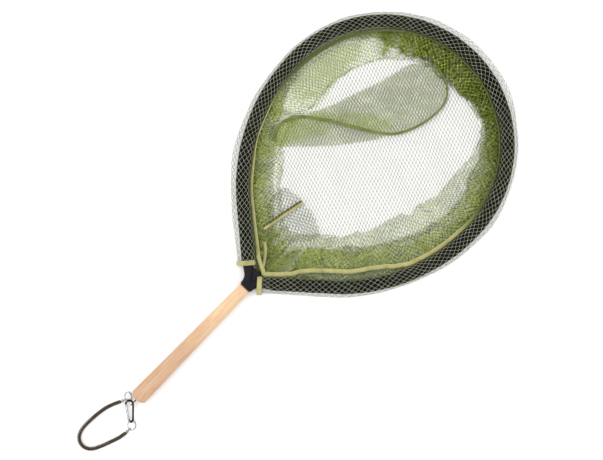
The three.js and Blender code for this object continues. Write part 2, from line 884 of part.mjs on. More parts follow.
function springGeometry() {
  const base = plungerFoot + plungerLength + clearance + springWire / 2;
  const top = gateBoreDepth + gateDiameter / 2 - springWire;
  const turns = helix((springDiameter - springWire) / 2, springCurls, top - base, curlSteps);
  const wire = barThrough(turns.points, springWire / 2, curlSides, turns.outward);
  return wire.translate(0, base, 0).applyMatrix4(gateFrame);
}

// Split rings, in the carabiner's plane before they lean

const ringPitch = ringWire + ringTurnGap;
const ringSeat = barDiameter / 2 + ringPlay + ringWire / 2;
const lowerRing = {
  centre: new THREE.Vector3(narrow.x, narrow.y - clipNarrowRadius + ringSeat - ringRadius, 0),
  lean: lowerRingLean,
};
const upperRing = {
  centre: new THREE.Vector3(wide.x, wide.y + clipWideRadius - ringSeat + ringRadius, 0),
  lean: upperRingLean,
};

// A ring's frame: x towards its raised side, y along the carabiner, z square to the ring.
function ringFrame({ centre, lean }) {
  const raisedSide = new THREE.Vector3(-Math.cos(lean), 0, Math.sin(lean));
  const along = new THREE.Vector3(0, 1, 0);
  const square = raisedSide.clone().cross(along);
  return new THREE.Matrix4().makeBasis(raisedSide, along, square).setPosition(centre);
}

// Two turns lie side by side, and the wire steps across halfway.
function ringGeometry(ring) {
  const turns = spread(0, 4 * Math.PI, 2 * ringSteps);
  const outward = turns.map((turn) => new THREE.Vector3(Math.cos(turn), Math.sin(turn), 0));
  const halfway = 2 * Math.PI;
  const points = outward.map((way, i) => {
    const step = THREE.MathUtils.smoothstep(turns[i], halfway - ringStep, halfway + ringStep);
    return way.clone().multiplyScalar(ringRadius).setZ(ringPitch * (step - 0.5));
  });
  return barThrough(points, ringWire / 2, curlSides, outward).applyMatrix4(ringFrame(ring));
}

// Lanyard ends: a capped cone with an eye round the split ring's wire

function endFrame(ring, angle, heading) {
  const frame = ringFrame(ring);
  const [raisedSide, along, square] = [0, 1, 2].map((axis) => (
    new THREE.Vector3().setFromMatrixColumn(frame, axis)
  ));
  const outward = along.clone().multiplyScalar(heading * Math.cos(angle));
  outward.addScaledVector(raisedSide, Math.sin(angle));
  const tangent = along.clone().multiplyScalar(-heading * Math.sin(angle));
  tangent.addScaledVector(raisedSide, Math.cos(angle));
  const level = Math.atan(Math.sin(angle) * Math.tan(ring.lean + clipRoll)) + stemDip;
  const down = square.clone().multiplyScalar(square.z > 0 ? -1 : 1);
  const stem = outward.clone().multiplyScalar(Math.cos(level));
  stem.addScaledVector(down, Math.sin(level));
  const place = ring.centre.clone().addScaledVector(outward, ringRadius);
  const third = stem.clone().cross(tangent);
  return new THREE.Matrix4().makeBasis(third, stem, tangent).setPosition(place);
}

const capStart = endEyeRadius;
const capEnd = capStart + endCapLength;

function endGeometry(frame) {
  const eye = new THREE.TorusGeometry(endEyeRadius, endEyeWire / 2, barSides, endEyeSteps);
  const narrowEnd = endEyeWire / 2;
  const cone = new THREE.CylinderGeometry(endCapDiameter / 2, narrowEnd, endCapLength, rodSides);
  cone.translate(0, (capStart + capEnd) / 2, 0);
  return join(eye, cone).applyMatrix4(frame);
}

// Assembly

const head = new THREE.Group();
head.position.set(throatX, 0, 0);
const butt = new THREE.Group();
butt.position.set(-throatX, 0, 0);

const crossing = onCircle(wide, clipWideRadius, eyeCrossing);
const ringDrop = ringRadius * Math.sin(lowerRingLean + clipRoll) + (ringPitch + ringWire) / 2;
const ringRise = eyeCentre.z - clipSeatDrop - ringDrop;
const ringRun = crossing.y - lowerRing.centre.y;
const rollDrop = (crossing.x - lowerRing.centre.x) * Math.sin(-clipRoll);
const clipPitch = Math.asin((ringRise - rollDrop) / ringRun);

// The carabiner hangs in the eye and leans down to the ground, turned to one side.
const clip = new THREE.Group();
clip.position.set(eyeCentre.x, 0, eyeCentre.z - clipSeatDrop);
clip.rotation.set(clipPitch, clipRoll, clipYaw, 'ZXY');
const clipPlane = new THREE.Group();
clipPlane.position.set(-crossing.x, -crossing.y, 0);
clip.add(clipPlane);
butt.add(clip);

const upperEnd = endFrame(upperRing, upperEndAngle, 1);
const lowerEnd = endFrame(lowerRing, lowerEndAngle, -1);

function inButtFrame(frame, distance) {
  const point = new THREE.Vector3(0, distance, 0).applyMatrix4(frame);
  return butt.worldToLocal(clipPlane.localToWorld(point));
}

function coilPath() {
  butt.updateMatrixWorld(true);
  const tip = capEnd + clearance;
  const lead = tip + cordDiameter * 2;
  const middle = lanyardRoute.map(([x, y, z]) => new THREE.Vector3(x, y, z));
  const start = [inButtFrame(upperEnd, tip), inButtFrame(upperEnd, lead)];
  const finish = [inButtFrame(lowerEnd, lead), inButtFrame(lowerEnd, tip)];
  return new THREE.CatmullRomCurve3([...start, ...middle, ...finish], false, 'centripetal');
}

// The coil's helix runs in from the axis at both ends, where the cord is straight.
function coilTurns() {
  const path = coilPath();
  const length = path.getLength();
  const straight = cordDiameter;
  const pitch = (length - 2 * straight) / coilCurls;
  const count = coilCurls * curlSteps;
  const frames = path.computeFrenetFrames(count, false);
  const points = [path.getPointAt(0)];
  const outward = [frames.normals[0].clone()];
  for (let i = 0; i <= count; i += 1) {
    const along = straight + (length - 2 * straight) * i / count;
    const fromEnd = Math.min(i, count - i) / curlSteps;
    const opening = THREE.MathUtils.smoothstep(fromEnd, 0, 1);
    const turn = 2 * Math.PI * i / curlSteps;
    const way = frames.normals[i].clone().multiplyScalar(Math.cos(turn));
    way.addScaledVector(frames.binormals[i], Math.sin(turn));
    const radius = opening * (coilDiameter - cordDiameter) / 2;
    points.push(path.getPointAt(along / length).addScaledVector(way, radius));
    outward.push(way);
  }
  points.push(path.getPointAt(1));
  outward.push(frames.normals[count].clone());
  return { points, outward, pitch };
}

function leastGap(points, apart, thickness) {
  let least = Infinity;
  for (let i = 0; i < points.length; i += 1) {
    for (let j = i + apart; j < Math.min(points.length, i + 4 * apart); j += 1) {
      least = Math.min(least, points[i].distanceTo(points[j]));
    }
  }
  return least - thickness;
}

function coilGeometry() {
  const turns = coilTurns();
  const gap = leastGap(turns.points, curlSteps - 1, cordDiameter);
  console.log(`lanyard coil: pitch ${turns.pitch.toFixed(2)} mm, least gap ${gap.toFixed(2)} mm`);
  return barThrough(turns.points, cordDiameter / 2, curlSides, turns.outward);
}

const plainWall = new THREE.Mesh(wallGeometry(() => false));

const handle = mesh('handle', handleGeometry(), wood());
handle.position.set(throatX, 0, 0);

head.add(
  mesh('hoop_tube', tubeGeometry(), brightMetal()),
  mesh('foam_float', foamGeometry(), blackFoam()),
  mesh('throat_boot', bootGeometry(), blackFoam()),
  mesh('net_sleeve', sleeveGeometry(-sleeveRightEnd, sleeveLeftEnd), greenNet()),
  mesh('bag_wall', wallGeometry(isWallGap), greenNet()),
  mesh('bag_floor', floorGeometry(), greenNet()),
  mesh('bag_flap', flapGeometry(), greenNet()),
  mesh('hem_tape', hemTapeGeometry(), oliveTape()),
  mesh('flap_seam_tape', seamTapeGeometry(), oliveTape()),
  mesh('side_seam_tab', tabGeometry([plainWall]), oliveTape()),
);

[['left', 1, sleeveLeftEnd], ['right', -1, sleeveRightEnd]].forEach(([name, side, sleeveEnd]) => {
  const near = side * (sleeveEnd + clearance);
  const far = side * (sleeveEnd + clearance + bindingWidth);
  const binding = sleeveGeometry(Math.min(near, far), Math.max(near, far), bindingFlare);
  head.add(mesh(`sleeve_binding_${name}`, binding, oliveTape()));
});

butt.add(mesh('butt_eye', eyeGeometry(), bronzeMetal()));

clipPlane.add(
  mesh('carabiner_body', clipGeometry(), blackMetal()),
  mesh('carabiner_gate', gateGeometry(), brightMetal()),
  mesh('gate_pivot_pin', pivotGeometry(), brightMetal()),
  mesh('gate_plunger', plungerGeometry(), brightMetal()),
  mesh('gate_spring', springGeometry(), brightMetal()),
  mesh('split_ring_upper', ringGeometry(upperRing), brightMetal()),
  mesh('split_ring_lower', ringGeometry(lowerRing), brightMetal()),
  mesh('lanyard_end_upper', endGeometry(upperEnd), brightMetal()),
  mesh('lanyard_end_lower', endGeometry(lowerEnd), brightMetal()),
);

butt.add(mesh('lanyard_coil', coilGeometry(), coilPlastic()));

const group = new THREE.Group();
group.add(handle, head, butt);

export default group;
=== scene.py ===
import math

import bpy
import numpy as np
from mathutils import Matrix, Vector


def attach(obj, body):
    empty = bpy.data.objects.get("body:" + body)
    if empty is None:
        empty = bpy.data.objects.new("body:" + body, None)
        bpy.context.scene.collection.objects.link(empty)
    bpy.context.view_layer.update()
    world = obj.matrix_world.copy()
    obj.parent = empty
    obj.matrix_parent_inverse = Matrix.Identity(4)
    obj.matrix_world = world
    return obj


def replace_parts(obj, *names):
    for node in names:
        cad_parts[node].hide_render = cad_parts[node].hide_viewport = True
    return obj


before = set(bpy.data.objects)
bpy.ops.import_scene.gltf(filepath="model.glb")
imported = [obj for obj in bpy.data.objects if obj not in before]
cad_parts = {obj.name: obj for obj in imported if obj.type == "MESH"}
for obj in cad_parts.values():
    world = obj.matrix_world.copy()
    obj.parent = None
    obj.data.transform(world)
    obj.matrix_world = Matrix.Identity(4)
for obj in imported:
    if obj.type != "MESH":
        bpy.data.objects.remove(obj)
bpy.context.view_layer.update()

# Sizes in millimetres, as in the part's source.
MM = 0.001
HANDLE_LENGTH, HANDLE_FRONT, HANDLE_BUTT = 242.0, 18.5, 26.0
HANDLE_THICK, HANDLE_EDGE = 22.0, 6.0
BUTT_DEPTH, BUTT_EASE = 6.0, 3.0
THROAT_X = HANDLE_LENGTH / 2
AXIS_Z = 11.0
LEG_SPACING = 8.4
TIP_RADIUS, SIDE_RADIUS = 193.0, 285.0
LEG_ANGLE = math.radians(49)
BEND_RADIUS = 24.0
THROAT_STRAIGHT = 3.0
FOAM_RADIUS = 10.0
BOOT_LENGTH = 38.0
BOOT_VOXEL, BOOT_ROUNDS = 0.7 * MM, 14
RIM_OFFSET = 11.8
BAG_CENTRE = np.array([285.0 + THROAT_X, 0.0])

SIDE_END_Y = TIP_RADIUS - SIDE_RADIUS * (1 - math.cos(LEG_ANGLE))
BEND_Y = LEG_SPACING / 2 + BEND_RADIUS * (1 - math.cos(LEG_ANGLE))
STRAIGHT = (SIDE_END_Y - BEND_Y) / math.sin(LEG_ANGLE)
TIP_LENGTH = TIP_RADIUS * math.pi / 2
SIDE_END = TIP_LENGTH + SIDE_RADIUS * LEG_ANGLE
BEND_START = SIDE_END + STRAIGHT
BEND_END = BEND_START + BEND_RADIUS * LEG_ANGLE
HANDLE_START = BEND_END + THROAT_STRAIGHT
BEND_X = THROAT_STRAIGHT + BEND_RADIUS * math.sin(LEG_ANGLE)
SIDE_END_X = BEND_X + STRAIGHT * math.cos(LEG_ANGLE)
HOOP_X = SIDE_END_X + SIDE_RADIUS * math.sin(LEG_ANGLE)
FOAM_END = HANDLE_START - BOOT_LENGTH
SLEEVE_LEFT, SLEEVE_RIGHT = HANDLE_START - 41.0, HANDLE_START - 25.0

# Threads' radii, with their shares of it at and between the knots of flat nets,
SLEEVE_THREAD, WALL_THREAD, FLOOR_THREAD, FLAP_THREAD = 0.17, 0.33, 0.3, 0.23
AT_KNOT, BETWEEN_KNOTS = 1.4, 0.85
# the steps between the points that threads run through, how many points it is from thread to thread,
# and how many there are round the sleeve.
SLEEVE_STEP, WALL_STEP = 2.5, 3.9
SLEEVE_SAMPLES, WALL_SAMPLES = 4, 2
SLEEVE_AROUND = 44
LOWEST_THREAD = 0.7

# Tapes as folded: width, thickness and the thickness of a leaf.
HEM_CUT, SEAM_CUT, TAB_CUT = (7.0, 1.5, 0.35), (5.0, 1.1, 0.3), (7.0, 1.8, 0.4)
HEM_HEIGHT = 13.0

# The lanyard's lie, from the handle's butt.
LANYARD_ROUTE = [
    (-30, 20.6, 11), (-42, 24.8, 8.4), (-55, 27.2, 5.8), (-68, 28.6, 4), (-80, 29.2, 3.5), (-91, 28.8, 3.5),
    (-101, 26, 3.5), (-107.6, 20.4, 3.5), (-110.8, 12.8, 3.5), (-110.2, 4.8, 3.5), (-106, -2.2, 3.5),
    (-99, -7.4, 3.5), (-90.5, -11.4, 3.5), (-81, -15.2, 4), (-71, -18.8, 5.4), (-61, -22, 7.6),
]
# The bound edge of the bag's folded-over layer, and its side seam's tab, from the throat.
SEAM_ROUTE = [
    (193, 128), (210, 136), (230, 136), (252, 121), (277, 86), (293, 59), (309, 31), (333, 0),
    (369, -18), (408, -24), (432, -17), (447, 1), (455, 27),
]
TAB_ROUTE = [(86, 44), (103, 40.5), (121, 37), (140, 33), (158, 29)]
# Along the hoop from its tip: how far the hem tape's outer edge lies inside the rim,
HEM_LIE = [
    (-655, 0.6), (-632, 1.2), (-614, 3), (-600, 8), (-584, 11), (-559, 11.5), (-515, 10), (-488, 11),
    (-458, 9), (-440, 5), (-413, 1), (-389, 0.5), (-345, 1), (122, 1), (216, 2.5), (243, 2.5), (311, 0.6),
    (560, 0.8), (632, 3.5), (666, 2),
]
# how many degrees it is tilted,
HEM_TILT = [
    (-655, 6), (-420, 6), (-330, 24), (-220, 80), (-60, 84), (60, 82), (140, 62), (230, 40), (290, 30),
    (335, 82), (430, 84), (490, 62), (600, 52), (666, 20),
]
# how far the sleeve hangs off the foam,
SLEEVE_SLACK = [
    (-655, 3.6), (-540, 4.6), (-460, 2.2), (-400, 1.8), (-340, 4.6), (-280, 6), (-200, 3.2), (-140, 5),
    (-60, 10), (0, 9.2), (60, 7.6), (120, 4), (180, 3.2), (260, 1.8), (340, 2.6), (400, 5.2), (480, 8.6),
    (540, 7), (640, 6),
]
# how far in from the rim the bag's floor begins,
FLOOR_LIE = [
    (-655, 58), (-560, 52), (-454, 38), (-316, 27), (-233, 35), (-161, 28), (-80, 27), (7, 40), (92, 37),
    (150, 44), (200, 50), (340, 54), (390, 36), (443, 36), (557, 42), (640, 50), (665, 58),
]
# and how far in from the rim its wall lies in many folds, in few, and in one,
# with how much of the many is folded once more.
WALL_LIE = [
    (-655, 44, 56, 88, 0.1), (-633, 48, 54, 84, 0.1), (-598, 50, 52, 78, 0.1), (-560, 48, 50, 74, 0),
    (-500, 42, 47, 76, 0), (-454, 36, 44, 78, 0), (-402, 32, 42, 79, 0.1), (-362, 27, 38, 75, 0.2),
    (-316, 25, 34, 73, 0.3), (-276, 28, 35, 70, 0.4), (-233, 33, 37, 66, 0.5), (-200, 30, 34, 58, 0.6),
    (-161, 27, 31, 41, 0.8), (-134, 23, 26, 32, 1), (-109, 22, 24, 28, 1), (-80, 26, 28, 31, 1),
    (-33, 35, 37, 41, 1), (7, 38, 41, 45, 1), (55, 33, 36, 41, 1), (92, 34, 37, 45, 0.6),
    (124, 26, 29, 48, 0.3), (172, 12, 14, 51, 0), (218, 8, 11, 54, 0), (256, 6, 9, 57, 0),
    (301, 6, 9, 60, 0), (340, 8, 12, 60, 0), (369, 12, 17, 50, 0), (406, 18, 25, 48, 0.2),
    (443, 22, 31, 48, 0.3), (481, 25, 34, 49, 0.4), (557, 27, 36, 52, 0.4), (610, 29, 38, 56, 0.2),
    (640, 34, 46, 70, 0.1), (655, 40, 54, 82, 0.1), (665, 44, 56, 88, 0.1),
]
# Where the floor is doubled, on both sides of the side seam's tab.
TUCKS = [
    [(190, 42), (214, 40), (244, 36), (275, 28), (277, 8), (268, -16), (254, -27), (235, -17), (216, 2),
     (198, 24)],
    [(221, 43), (236, 62), (257, 69), (275, 65), (279, 50), (278, 33), (250, 38)],
]
# The folded-over layer lies double above its bound edge, as a loose fold beside it, which is partly
# double, and as a strip below it. Next to that edge it is gathered.
FOLD_EDGE = [(567, 45), (545, 61), (508, 70), (461, 87), (423, 100), (398, 112), (374, 128)]
LOOSE_FOLD = [
    (327, 143), (351, 142), (375, 129), (400, 114), (432, 117), (460, 120), (489, 114), (525, 91),
    (546, 78), (551, 95), (533, 131), (502, 154), (471, 168), (432, 173), (396, 170), (367, 164),
    (342, 157),
]
DENSE_FOLD = [
    (385, 146), (396, 168), (432, 172), (471, 167), (500, 153), (519, 138), (503, 124), (474, 126),
    (441, 122), (407, 128),
]
STRIP_EDGE = [(454, -5), (419, 20), (381, 48), (347, 80), (326, 102), (313, 115)]
GATHERS = [
    [(356, 138), (380, 122), (402, 101), (429, 75), (451, 50), (459, 29), (464, 4), (450, 9), (428, 38),
     (410, 72), (395, 94), (381, 111), (367, 127)],
    [(313, 129), (335, 139), (353, 137), (379, 109), (398, 81), (379, 76), (344, 98), (318, 112),
     (299, 123)],
]
# The hem tape's loose end at the throat.
LOOSE_END = [(193, 28, 14), (188, 21, 15), (178, 12, 15), (165, 3, 14.4)]
LOOSE_END_TILT = math.radians(62)


# Numbers and lines

LINE_WAVES, PLANE_WAVES = 6, 7
FINE_STEPS = 12


def eased(t):
    """A share from 0 to 1 that starts and stops gently."""
    t = np.clip(t, 0, 1)
    return t * t * (3 - 2 * t)


def keyed(s, keys, column=1):
    """A value that eases from key to key, from rows of a station and values."""
    keys = np.array(keys, float)
    stations, values = keys[:, 0], keys[:, column]
    i = np.clip(np.searchsorted(stations, s) - 1, 0, len(stations) - 2)
    t = eased((s - stations[i]) / (stations[i + 1] - stations[i]))
    return values[i] + (values[i + 1] - values[i]) * t


def ripple(s, seed, longest, shortest):
    """A wavy number of about -1 to 1, the same on each run."""
    draw = np.random.default_rng(seed)
    lengths = np.exp(draw.uniform(math.log(shortest), math.log(longest), LINE_WAVES))
    phases = draw.uniform(0, 2 * math.pi, LINE_WAVES)
    s = np.asarray(s, float)[..., None]
    return np.sin(2 * math.pi * s / lengths + phases).sum(-1) / math.sqrt(LINE_WAVES)


def ripple2(x, y, seed, longest, shortest):
    """A wavy number over a plane."""
    draw = np.random.default_rng(seed)
    lengths = np.exp(draw.uniform(math.log(shortest), math.log(longest), PLANE_WAVES))
    phases = draw.uniform(0, 2 * math.pi, PLANE_WAVES)
    turns = draw.uniform(0, math.pi, PLANE_WAVES)
    x, y = np.asarray(x, float)[..., None], np.asarray(y, float)[..., None]
    along = x * np.cos(turns) + y * np.sin(turns)
    return np.sin(2 * math.pi * along / lengths + phases).sum(-1) / math.sqrt(PLANE_WAVES)


def hoop(s):
    """Points of the hoop's centreline and its outward directions, in mm in the part's frame,
    for distances from its tip, positive on the +Y side."""
    s = np.asarray(s, float)
    side, a = np.where(s < 0, -1.0, 1.0), np.abs(s)
    stretch = [a <= TIP_LENGTH, a <= SIDE_END, a <= BEND_START, a <= BEND_END]
    lean = np.select(stretch, [
        a / TIP_RADIUS - math.pi / 2,
        (a - TIP_LENGTH) / SIDE_RADIUS,
        np.full_like(a, LEG_ANGLE),
        LEG_ANGLE - (a - BEND_START) / BEND_RADIUS,
    ], 0.0)
    x = np.select(stretch, [
        HOOP_X - TIP_RADIUS * np.sin(lean),
        HOOP_X - SIDE_RADIUS * np.sin(lean),
        SIDE_END_X - (a - SIDE_END) * math.cos(LEG_ANGLE),
        THROAT_STRAIGHT + BEND_RADIUS * np.sin(lean),
    ], HANDLE_START - a)
    y = np.select(stretch, [
        TIP_RADIUS * np.cos(lean),
        TIP_RADIUS - SIDE_RADIUS * (1 - np.cos(lean)),
        SIDE_END_Y - (a - SIDE_END) * math.sin(LEG_ANGLE),
        LEG_SPACING / 2 + BEND_RADIUS * (1 - np.cos(lean)),
    ], LEG_SPACING / 2)
    at = np.stack([x + THROAT_X, side * y], -1)
    out = np.stack([-np.sin(lean), side * np.cos(lean)], -1)
    return at, out


def rim(s):
    """The bag's rim inside the sleeve."""
    at, out = hoop(s)
    return at - RIM_OFFSET * out


def fine_line(points, closed=False):
    """A smooth line through points (..., n, k), in fine steps from point to point."""
    points = np.asarray(points, float)
    n = points.shape[-2]
    if closed:
        padded = np.concatenate([points[..., -1:, :], points, points[..., :2, :]], -2)
        spans = n
    else:
        first = 2 * points[..., :1, :] - points[..., 1:2, :]
        last = 2 * points[..., -1:, :] - points[..., -2:-1, :]
        padded = np.concatenate([first, points, last], -2)
        spans = n - 1
    t = np.arange(spans * FINE_STEPS + 1) / FINE_STEPS
    i = np.minimum(t.astype(int), spans - 1)
    f = (t - i)[:, None]
    a, b, c, d = (padded[..., i + k, :] for k in range(4))
    square, cube = 2 * a - 5 * b + 4 * c - d, 3 * b - a - 3 * c + d
    return 0.5 * (2 * b + (c - a) * f + square * f ** 2 + cube * f ** 3)


def distances(line):
    """How far along a line (n, k) each of its points is."""
    return np.concatenate([[0], np.cumsum(np.linalg.norm(np.diff(line, axis=0), axis=1))])


def points_at(at, along, line):
    """Points at some distances, between those of a line (n, k) at distances along."""
    return np.stack([np.interp(at, along, line[:, k]) for k in range(line.shape[1])], -1)


def even_steps(line, count):
    """A line (..., n, k) again, with count even steps along it."""
    made = []
    for one in line.reshape(-1, *line.shape[-2:]):
        along = distances(one)
        made.append(points_at(np.linspace(0, along[-1], count + 1), along, one))
    return np.array(made).reshape(*line.shape[:-2], count + 1, line.shape[-1])


def smooth_line(points, count, closed=False):
    """A smooth line through points (..., n, k), again with count even steps along it."""
    return even_steps(fine_line(points, closed), count)


def outline_of(points, count):
    """A smooth closed outline through points (..., n, 2), as count points."""
    return smooth_line(points, count, closed=True)[..., :-1, :]


def unit(vectors):
    return vectors / np.linalg.norm(vectors, axis=-1, keepdims=True)


def headings(line, closed=False):
    """The way that a line (n, 3) goes at each of its points."""
    if closed:
        return np.roll(line, -1, 0) - np.roll(line, 1, 0)
    return np.gradient(line, axis=0)


def level_across(along):
    """Level directions, square to directions that are level too."""
    return np.stack([-along[:, 1], along[:, 0], np.zeros(len(along))], -1)


def steady_frames(points):
    """Two directions square to a line and to each other, which turn as little as may be."""
    along = unit(headings(points))
    first = np.zeros_like(points)
    now = np.eye(3)[np.argmin(np.abs(along[0]))]
    for i, way in enumerate(along):
        now = now - way * (now @ way)
        now = now / np.linalg.norm(now)
        first[i] = now
    return first, np.cross(along, first)


def round_turn(steps):
    return np.arange(steps) * 2 * math.pi / steps


def circle(turn):
    """Points on a level circle of radius 1."""
    return np.stack([np.cos(turn), np.sin(turn), np.zeros_like(turn)], -1)


# Meshes

def new_piece(name, verts, faces, body, material, uv=None, smooth=True):
    """A mesh object of vertices in metres and a list of arrays of faces with equal corner counts."""
    mesh = bpy.data.meshes.new(name)
    corners = np.concatenate([f.ravel() for f in faces]).astype(np.int32)
    sizes = np.concatenate([np.full(len(f), f.shape[1]) for f in faces])
    starts = np.concatenate([[0], np.cumsum(sizes)[:-1]]).astype(np.int32)
    mesh.vertices.add(len(verts))
    mesh.vertices.foreach_set("co", np.asarray(verts, np.float32).ravel())
    mesh.loops.add(len(corners))
    mesh.loops.foreach_set("vertex_index", corners)
    mesh.polygons.add(len(sizes))
    mesh.polygons.foreach_set("loop_start", starts)
    mesh.polygons.foreach_set("use_smooth", np.full(len(sizes), smooth))
    mesh.update(calc_edges=True)
    mesh.validate()
    if uv is not None:
        layer = mesh.uv_layers.new(name="UVMap")
        layer.data.foreach_set("uv", np.asarray(uv, np.float32)[corners].ravel())
    piece = bpy.data.objects.new(name, mesh)
    bpy.context.scene.collection.objects.link(piece)
    mesh.materials.append(material)
    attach(piece, body)
    return piece


def stand_in(piece, node):
    """Has a piece stand for a node, whose own mesh it hides."""
    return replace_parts(piece, node)


def apply_modifiers(piece):
    """Gives a piece the mesh that its modifiers make of it, smooth."""
    bpy.context.view_layer.update()
    made = bpy.data.meshes.new_from_object(piece.evaluated_get(bpy.context.evaluated_depsgraph_get()))
    piece.modifiers.clear()
    old, piece.data = piece.data, made
    bpy.data.meshes.remove(old)
    for polygon in made.polygons:
        polygon.use_smooth = True


def lofted(rings, closed=False):
    """Vertices and faces of a body through rings of points (n, k, 3), its two end rings filled,
    or if closed joined to each other."""
    n, k = rings.shape[:2]
    i, j = (x.ravel() for x in np.meshgrid(np.arange(n if closed else n - 1), np.arange(k), indexing="ij"))
    i2, j2 = (i + 1) % n, (j + 1) % k
    faces = [np.stack([i * k + j, i * k + j2, i2 * k + j2, i2 * k + j], -1)]
    if not closed:
        faces.append(np.array([np.arange(k)[::-1], (n - 1) * k + np.arange(k)]))
    return rings.reshape(-1, 3), faces


def flipped(faces):
    return [f[:, ::-1] for f in faces]


def bar(points, radius, sides, first, closed=False):
    """A round bar along points. Its sides are counted from the directions first."""
    along = unit(headings(points, closed))
    first = unit(first - along * (first * along).sum(1, keepdims=True))
    second = np.cross(along, first)
    turn = (np.arange(sides) + 0.5) * 2 * math.pi / sides
    ring = first[:, None] * np.cos(turn)[:, None] + second[:, None] * np.sin(turn)[:, None]
    radius = np.broadcast_to(radius, len(points))
    return lofted(points[:, None] + ring * radius[:, None, None], closed)


def revolved(profile, steps):
    """A turned body about +Y from (radius, y) points, filled at both ends."""
    turn = round_turn(steps)
    rings = [np.stack([r * np.cos(turn), np.full(steps, y), r * np.sin(turn)], -1) for r, y in profile]
    verts, faces = lofted(np.array(rings))
    return verts, flipped(faces)


def gather(parts):
    """Several (vertices, faces) as one."""
    verts, faces, base = [], {}, 0
    for v, fs in parts:
        verts.append(v)
        for f in fs:
            faces.setdefault(f.shape[1], []).append(f + base)
        base += len(v)
    return np.concatenate(verts), [np.concatenate(f) for f in faces.values()]


def placed(part, matrix):
    """A part's vertices under a 4x4 matrix."""
    verts, faces = part
    m = np.array(matrix, float)
    return verts @ m[:3, :3].T + m[:3, 3], faces


# Materials

class Nodes:
    """A material's nodes, made by short calls. A value is a number, a colour or another node's output."""

    def __init__(self, name, roughness, metallic=0.0, **sockets):
        self.material = bpy.data.materials.new(name)
        self.material.use_nodes = True
        self.tree = self.material.node_tree
        self.shader = self.tree.nodes["Principled BSDF"]
        for socket, value in {"Roughness": roughness, "Metallic": metallic, **sockets}.items():
            self.shader.inputs[socket.replace("_", " ")].default_value = value

    def give(self, socket, value):
        if isinstance(value, bpy.types.NodeSocket):
            self.tree.links.new(value, socket)
        else:
            socket.default_value = (*value, 1) if isinstance(value, tuple) else value

    def add(self, kind, sockets, **settings):
        node = self.tree.nodes.new(kind)
        for key, value in settings.items():
            setattr(node, key, value)
        for key, value in sockets.items():
            self.give(node.inputs[key], value)
        return node.outputs

    def place(self, kind="Object", scale=(1, 1, 1)):
        made = self.add("ShaderNodeMapping", {"Vector": self.add("ShaderNodeTexCoord", {})[kind]})
        made["Vector"].node.inputs["Scale"].default_value = scale
        return made["Vector"]

    def noise(self, vector, scale, detail=3.0, roughness=0.55, distortion=0.0):
        return self.add("ShaderNodeTexNoise", {
            "Vector": vector, "Scale": scale, "Detail": detail, "Roughness": roughness,
            "Distortion": distortion})["Fac"]

    def cells(self, vector, scale):
        return self.add("ShaderNodeTexVoronoi", {"Vector": vector, "Scale": scale})["Distance"]

    def wave(self, vector, scale, direction):
        sockets = {"Vector": vector, "Scale": scale, "Distortion": 0.6, "Detail": 1}
        return self.add("ShaderNodeTexWave", sockets, bands_direction=direction)["Fac"]

    def ramp(self, value, *stops):
        """A colour by stops of a place and a colour, or a number for a grey."""
        made = self.add("ShaderNodeValToRGB", {"Fac": value})["Color"]
        elements = made.node.color_ramp.elements
        while len(elements) < len(stops):
            elements.new(0.5)
        for element, (place, colour) in zip(elements, stops):
            element.position = place
            element.color = (*colour, 1) if isinstance(colour, tuple) else (colour, colour, colour, 1)
        return made

    def mix(self, share, a, b, blend="MIX"):
        sockets = {"Factor": share, "A": a, "B": b}
        return self.add("ShaderNodeMix", sockets, data_type="RGBA", blend_type=blend)["Result"]

    def math(self, operation, a, b):
        return self.add("ShaderNodeMath", {0: a, 1: b}, operation=operation)[0]

    def axis(self, vector, which, times=1):
        part = self.add("ShaderNodeSeparateXYZ", {0: vector})[which]
        return part if times == 1 else self.math("MULTIPLY", part, times)

    def colour(self, value):
        self.give(self.shader.inputs["Base Color"], value)

    def rough(self, value, low, high):
        made = self.add("ShaderNodeMapRange", {"Value": value, "To Min": low, "To Max": high})
        self.give(self.shader.inputs["Roughness"], made["Result"])

    def bump(self, height, strength, distance):
        made = self.add("ShaderNodeBump", {"Height": height, "Strength": strength, "Distance": distance})
        self.give(self.shader.inputs["Normal"], made["Normal"])


def srgb(r, g, b):
    """A colour as read off a screen, 0 to 255, in linear light."""
    return tuple((c / 255 / 12.92) if c < 10.3 else ((c / 255 + 0.055) / 1.055) ** 2.4 for c in (r, g, b))


def wood_material():
    """Pale wood, with painted shade on its butt half, and a dark brown ring at its front end, where it meets
    the boot.
    """
    m = Nodes("pale_wood", 0.5, Specular_IOR_Level=0.35)
    bands = m.noise(m.place(scale=(1, 14, 14)), 22, 4, 0.6, 0.4)
    streaks = m.noise(m.place(scale=(1, 40, 40)), 60, 5, 0.65)
    pores = m.noise(m.place(scale=(0.12, 1, 1)), 900, 2, 0.5)
    place = m.place()
    tone = m.ramp(
        bands, (0.25, srgb(190, 153, 116)), (0.5, srgb(206, 173, 136)), (0.75, srgb(217, 190, 156)))
    tone = m.mix(m.ramp(streaks, (0.35, 0), (0.75, 0.35)), tone, srgb(178, 140, 110))
    tone = m.mix(m.ramp(pores, (0.62, 0), (0.72, 0.5)), tone, srgb(160, 120, 90))
    # Painted shade: the butt half is multiplied darker.
    reach = m.math("ADD", m.axis(place, 0, 3.3), 0.5)
    tone = m.mix(m.ramp(reach, (0.45, 1), (0.72, 0)), tone, (0.78, 0.73, 0.75), "MULTIPLY")
    # A dark brown ring at the front end, where the wood meets the boot.
    front = m.math("MULTIPLY", m.math("SUBTRACT", m.axis(place, 0), 0.1185), 400)
    tone = m.mix(m.ramp(front, (0.0, 0), (0.9, 0.85)), tone, srgb(96, 56, 34))
    m.colour(tone)
    m.rough(bands, 0.42, 0.6)
    m.bump(m.math("ADD", streaks, m.math("MULTIPLY", pores, 0.6)), 0.12, 0.0004)
    return m.material


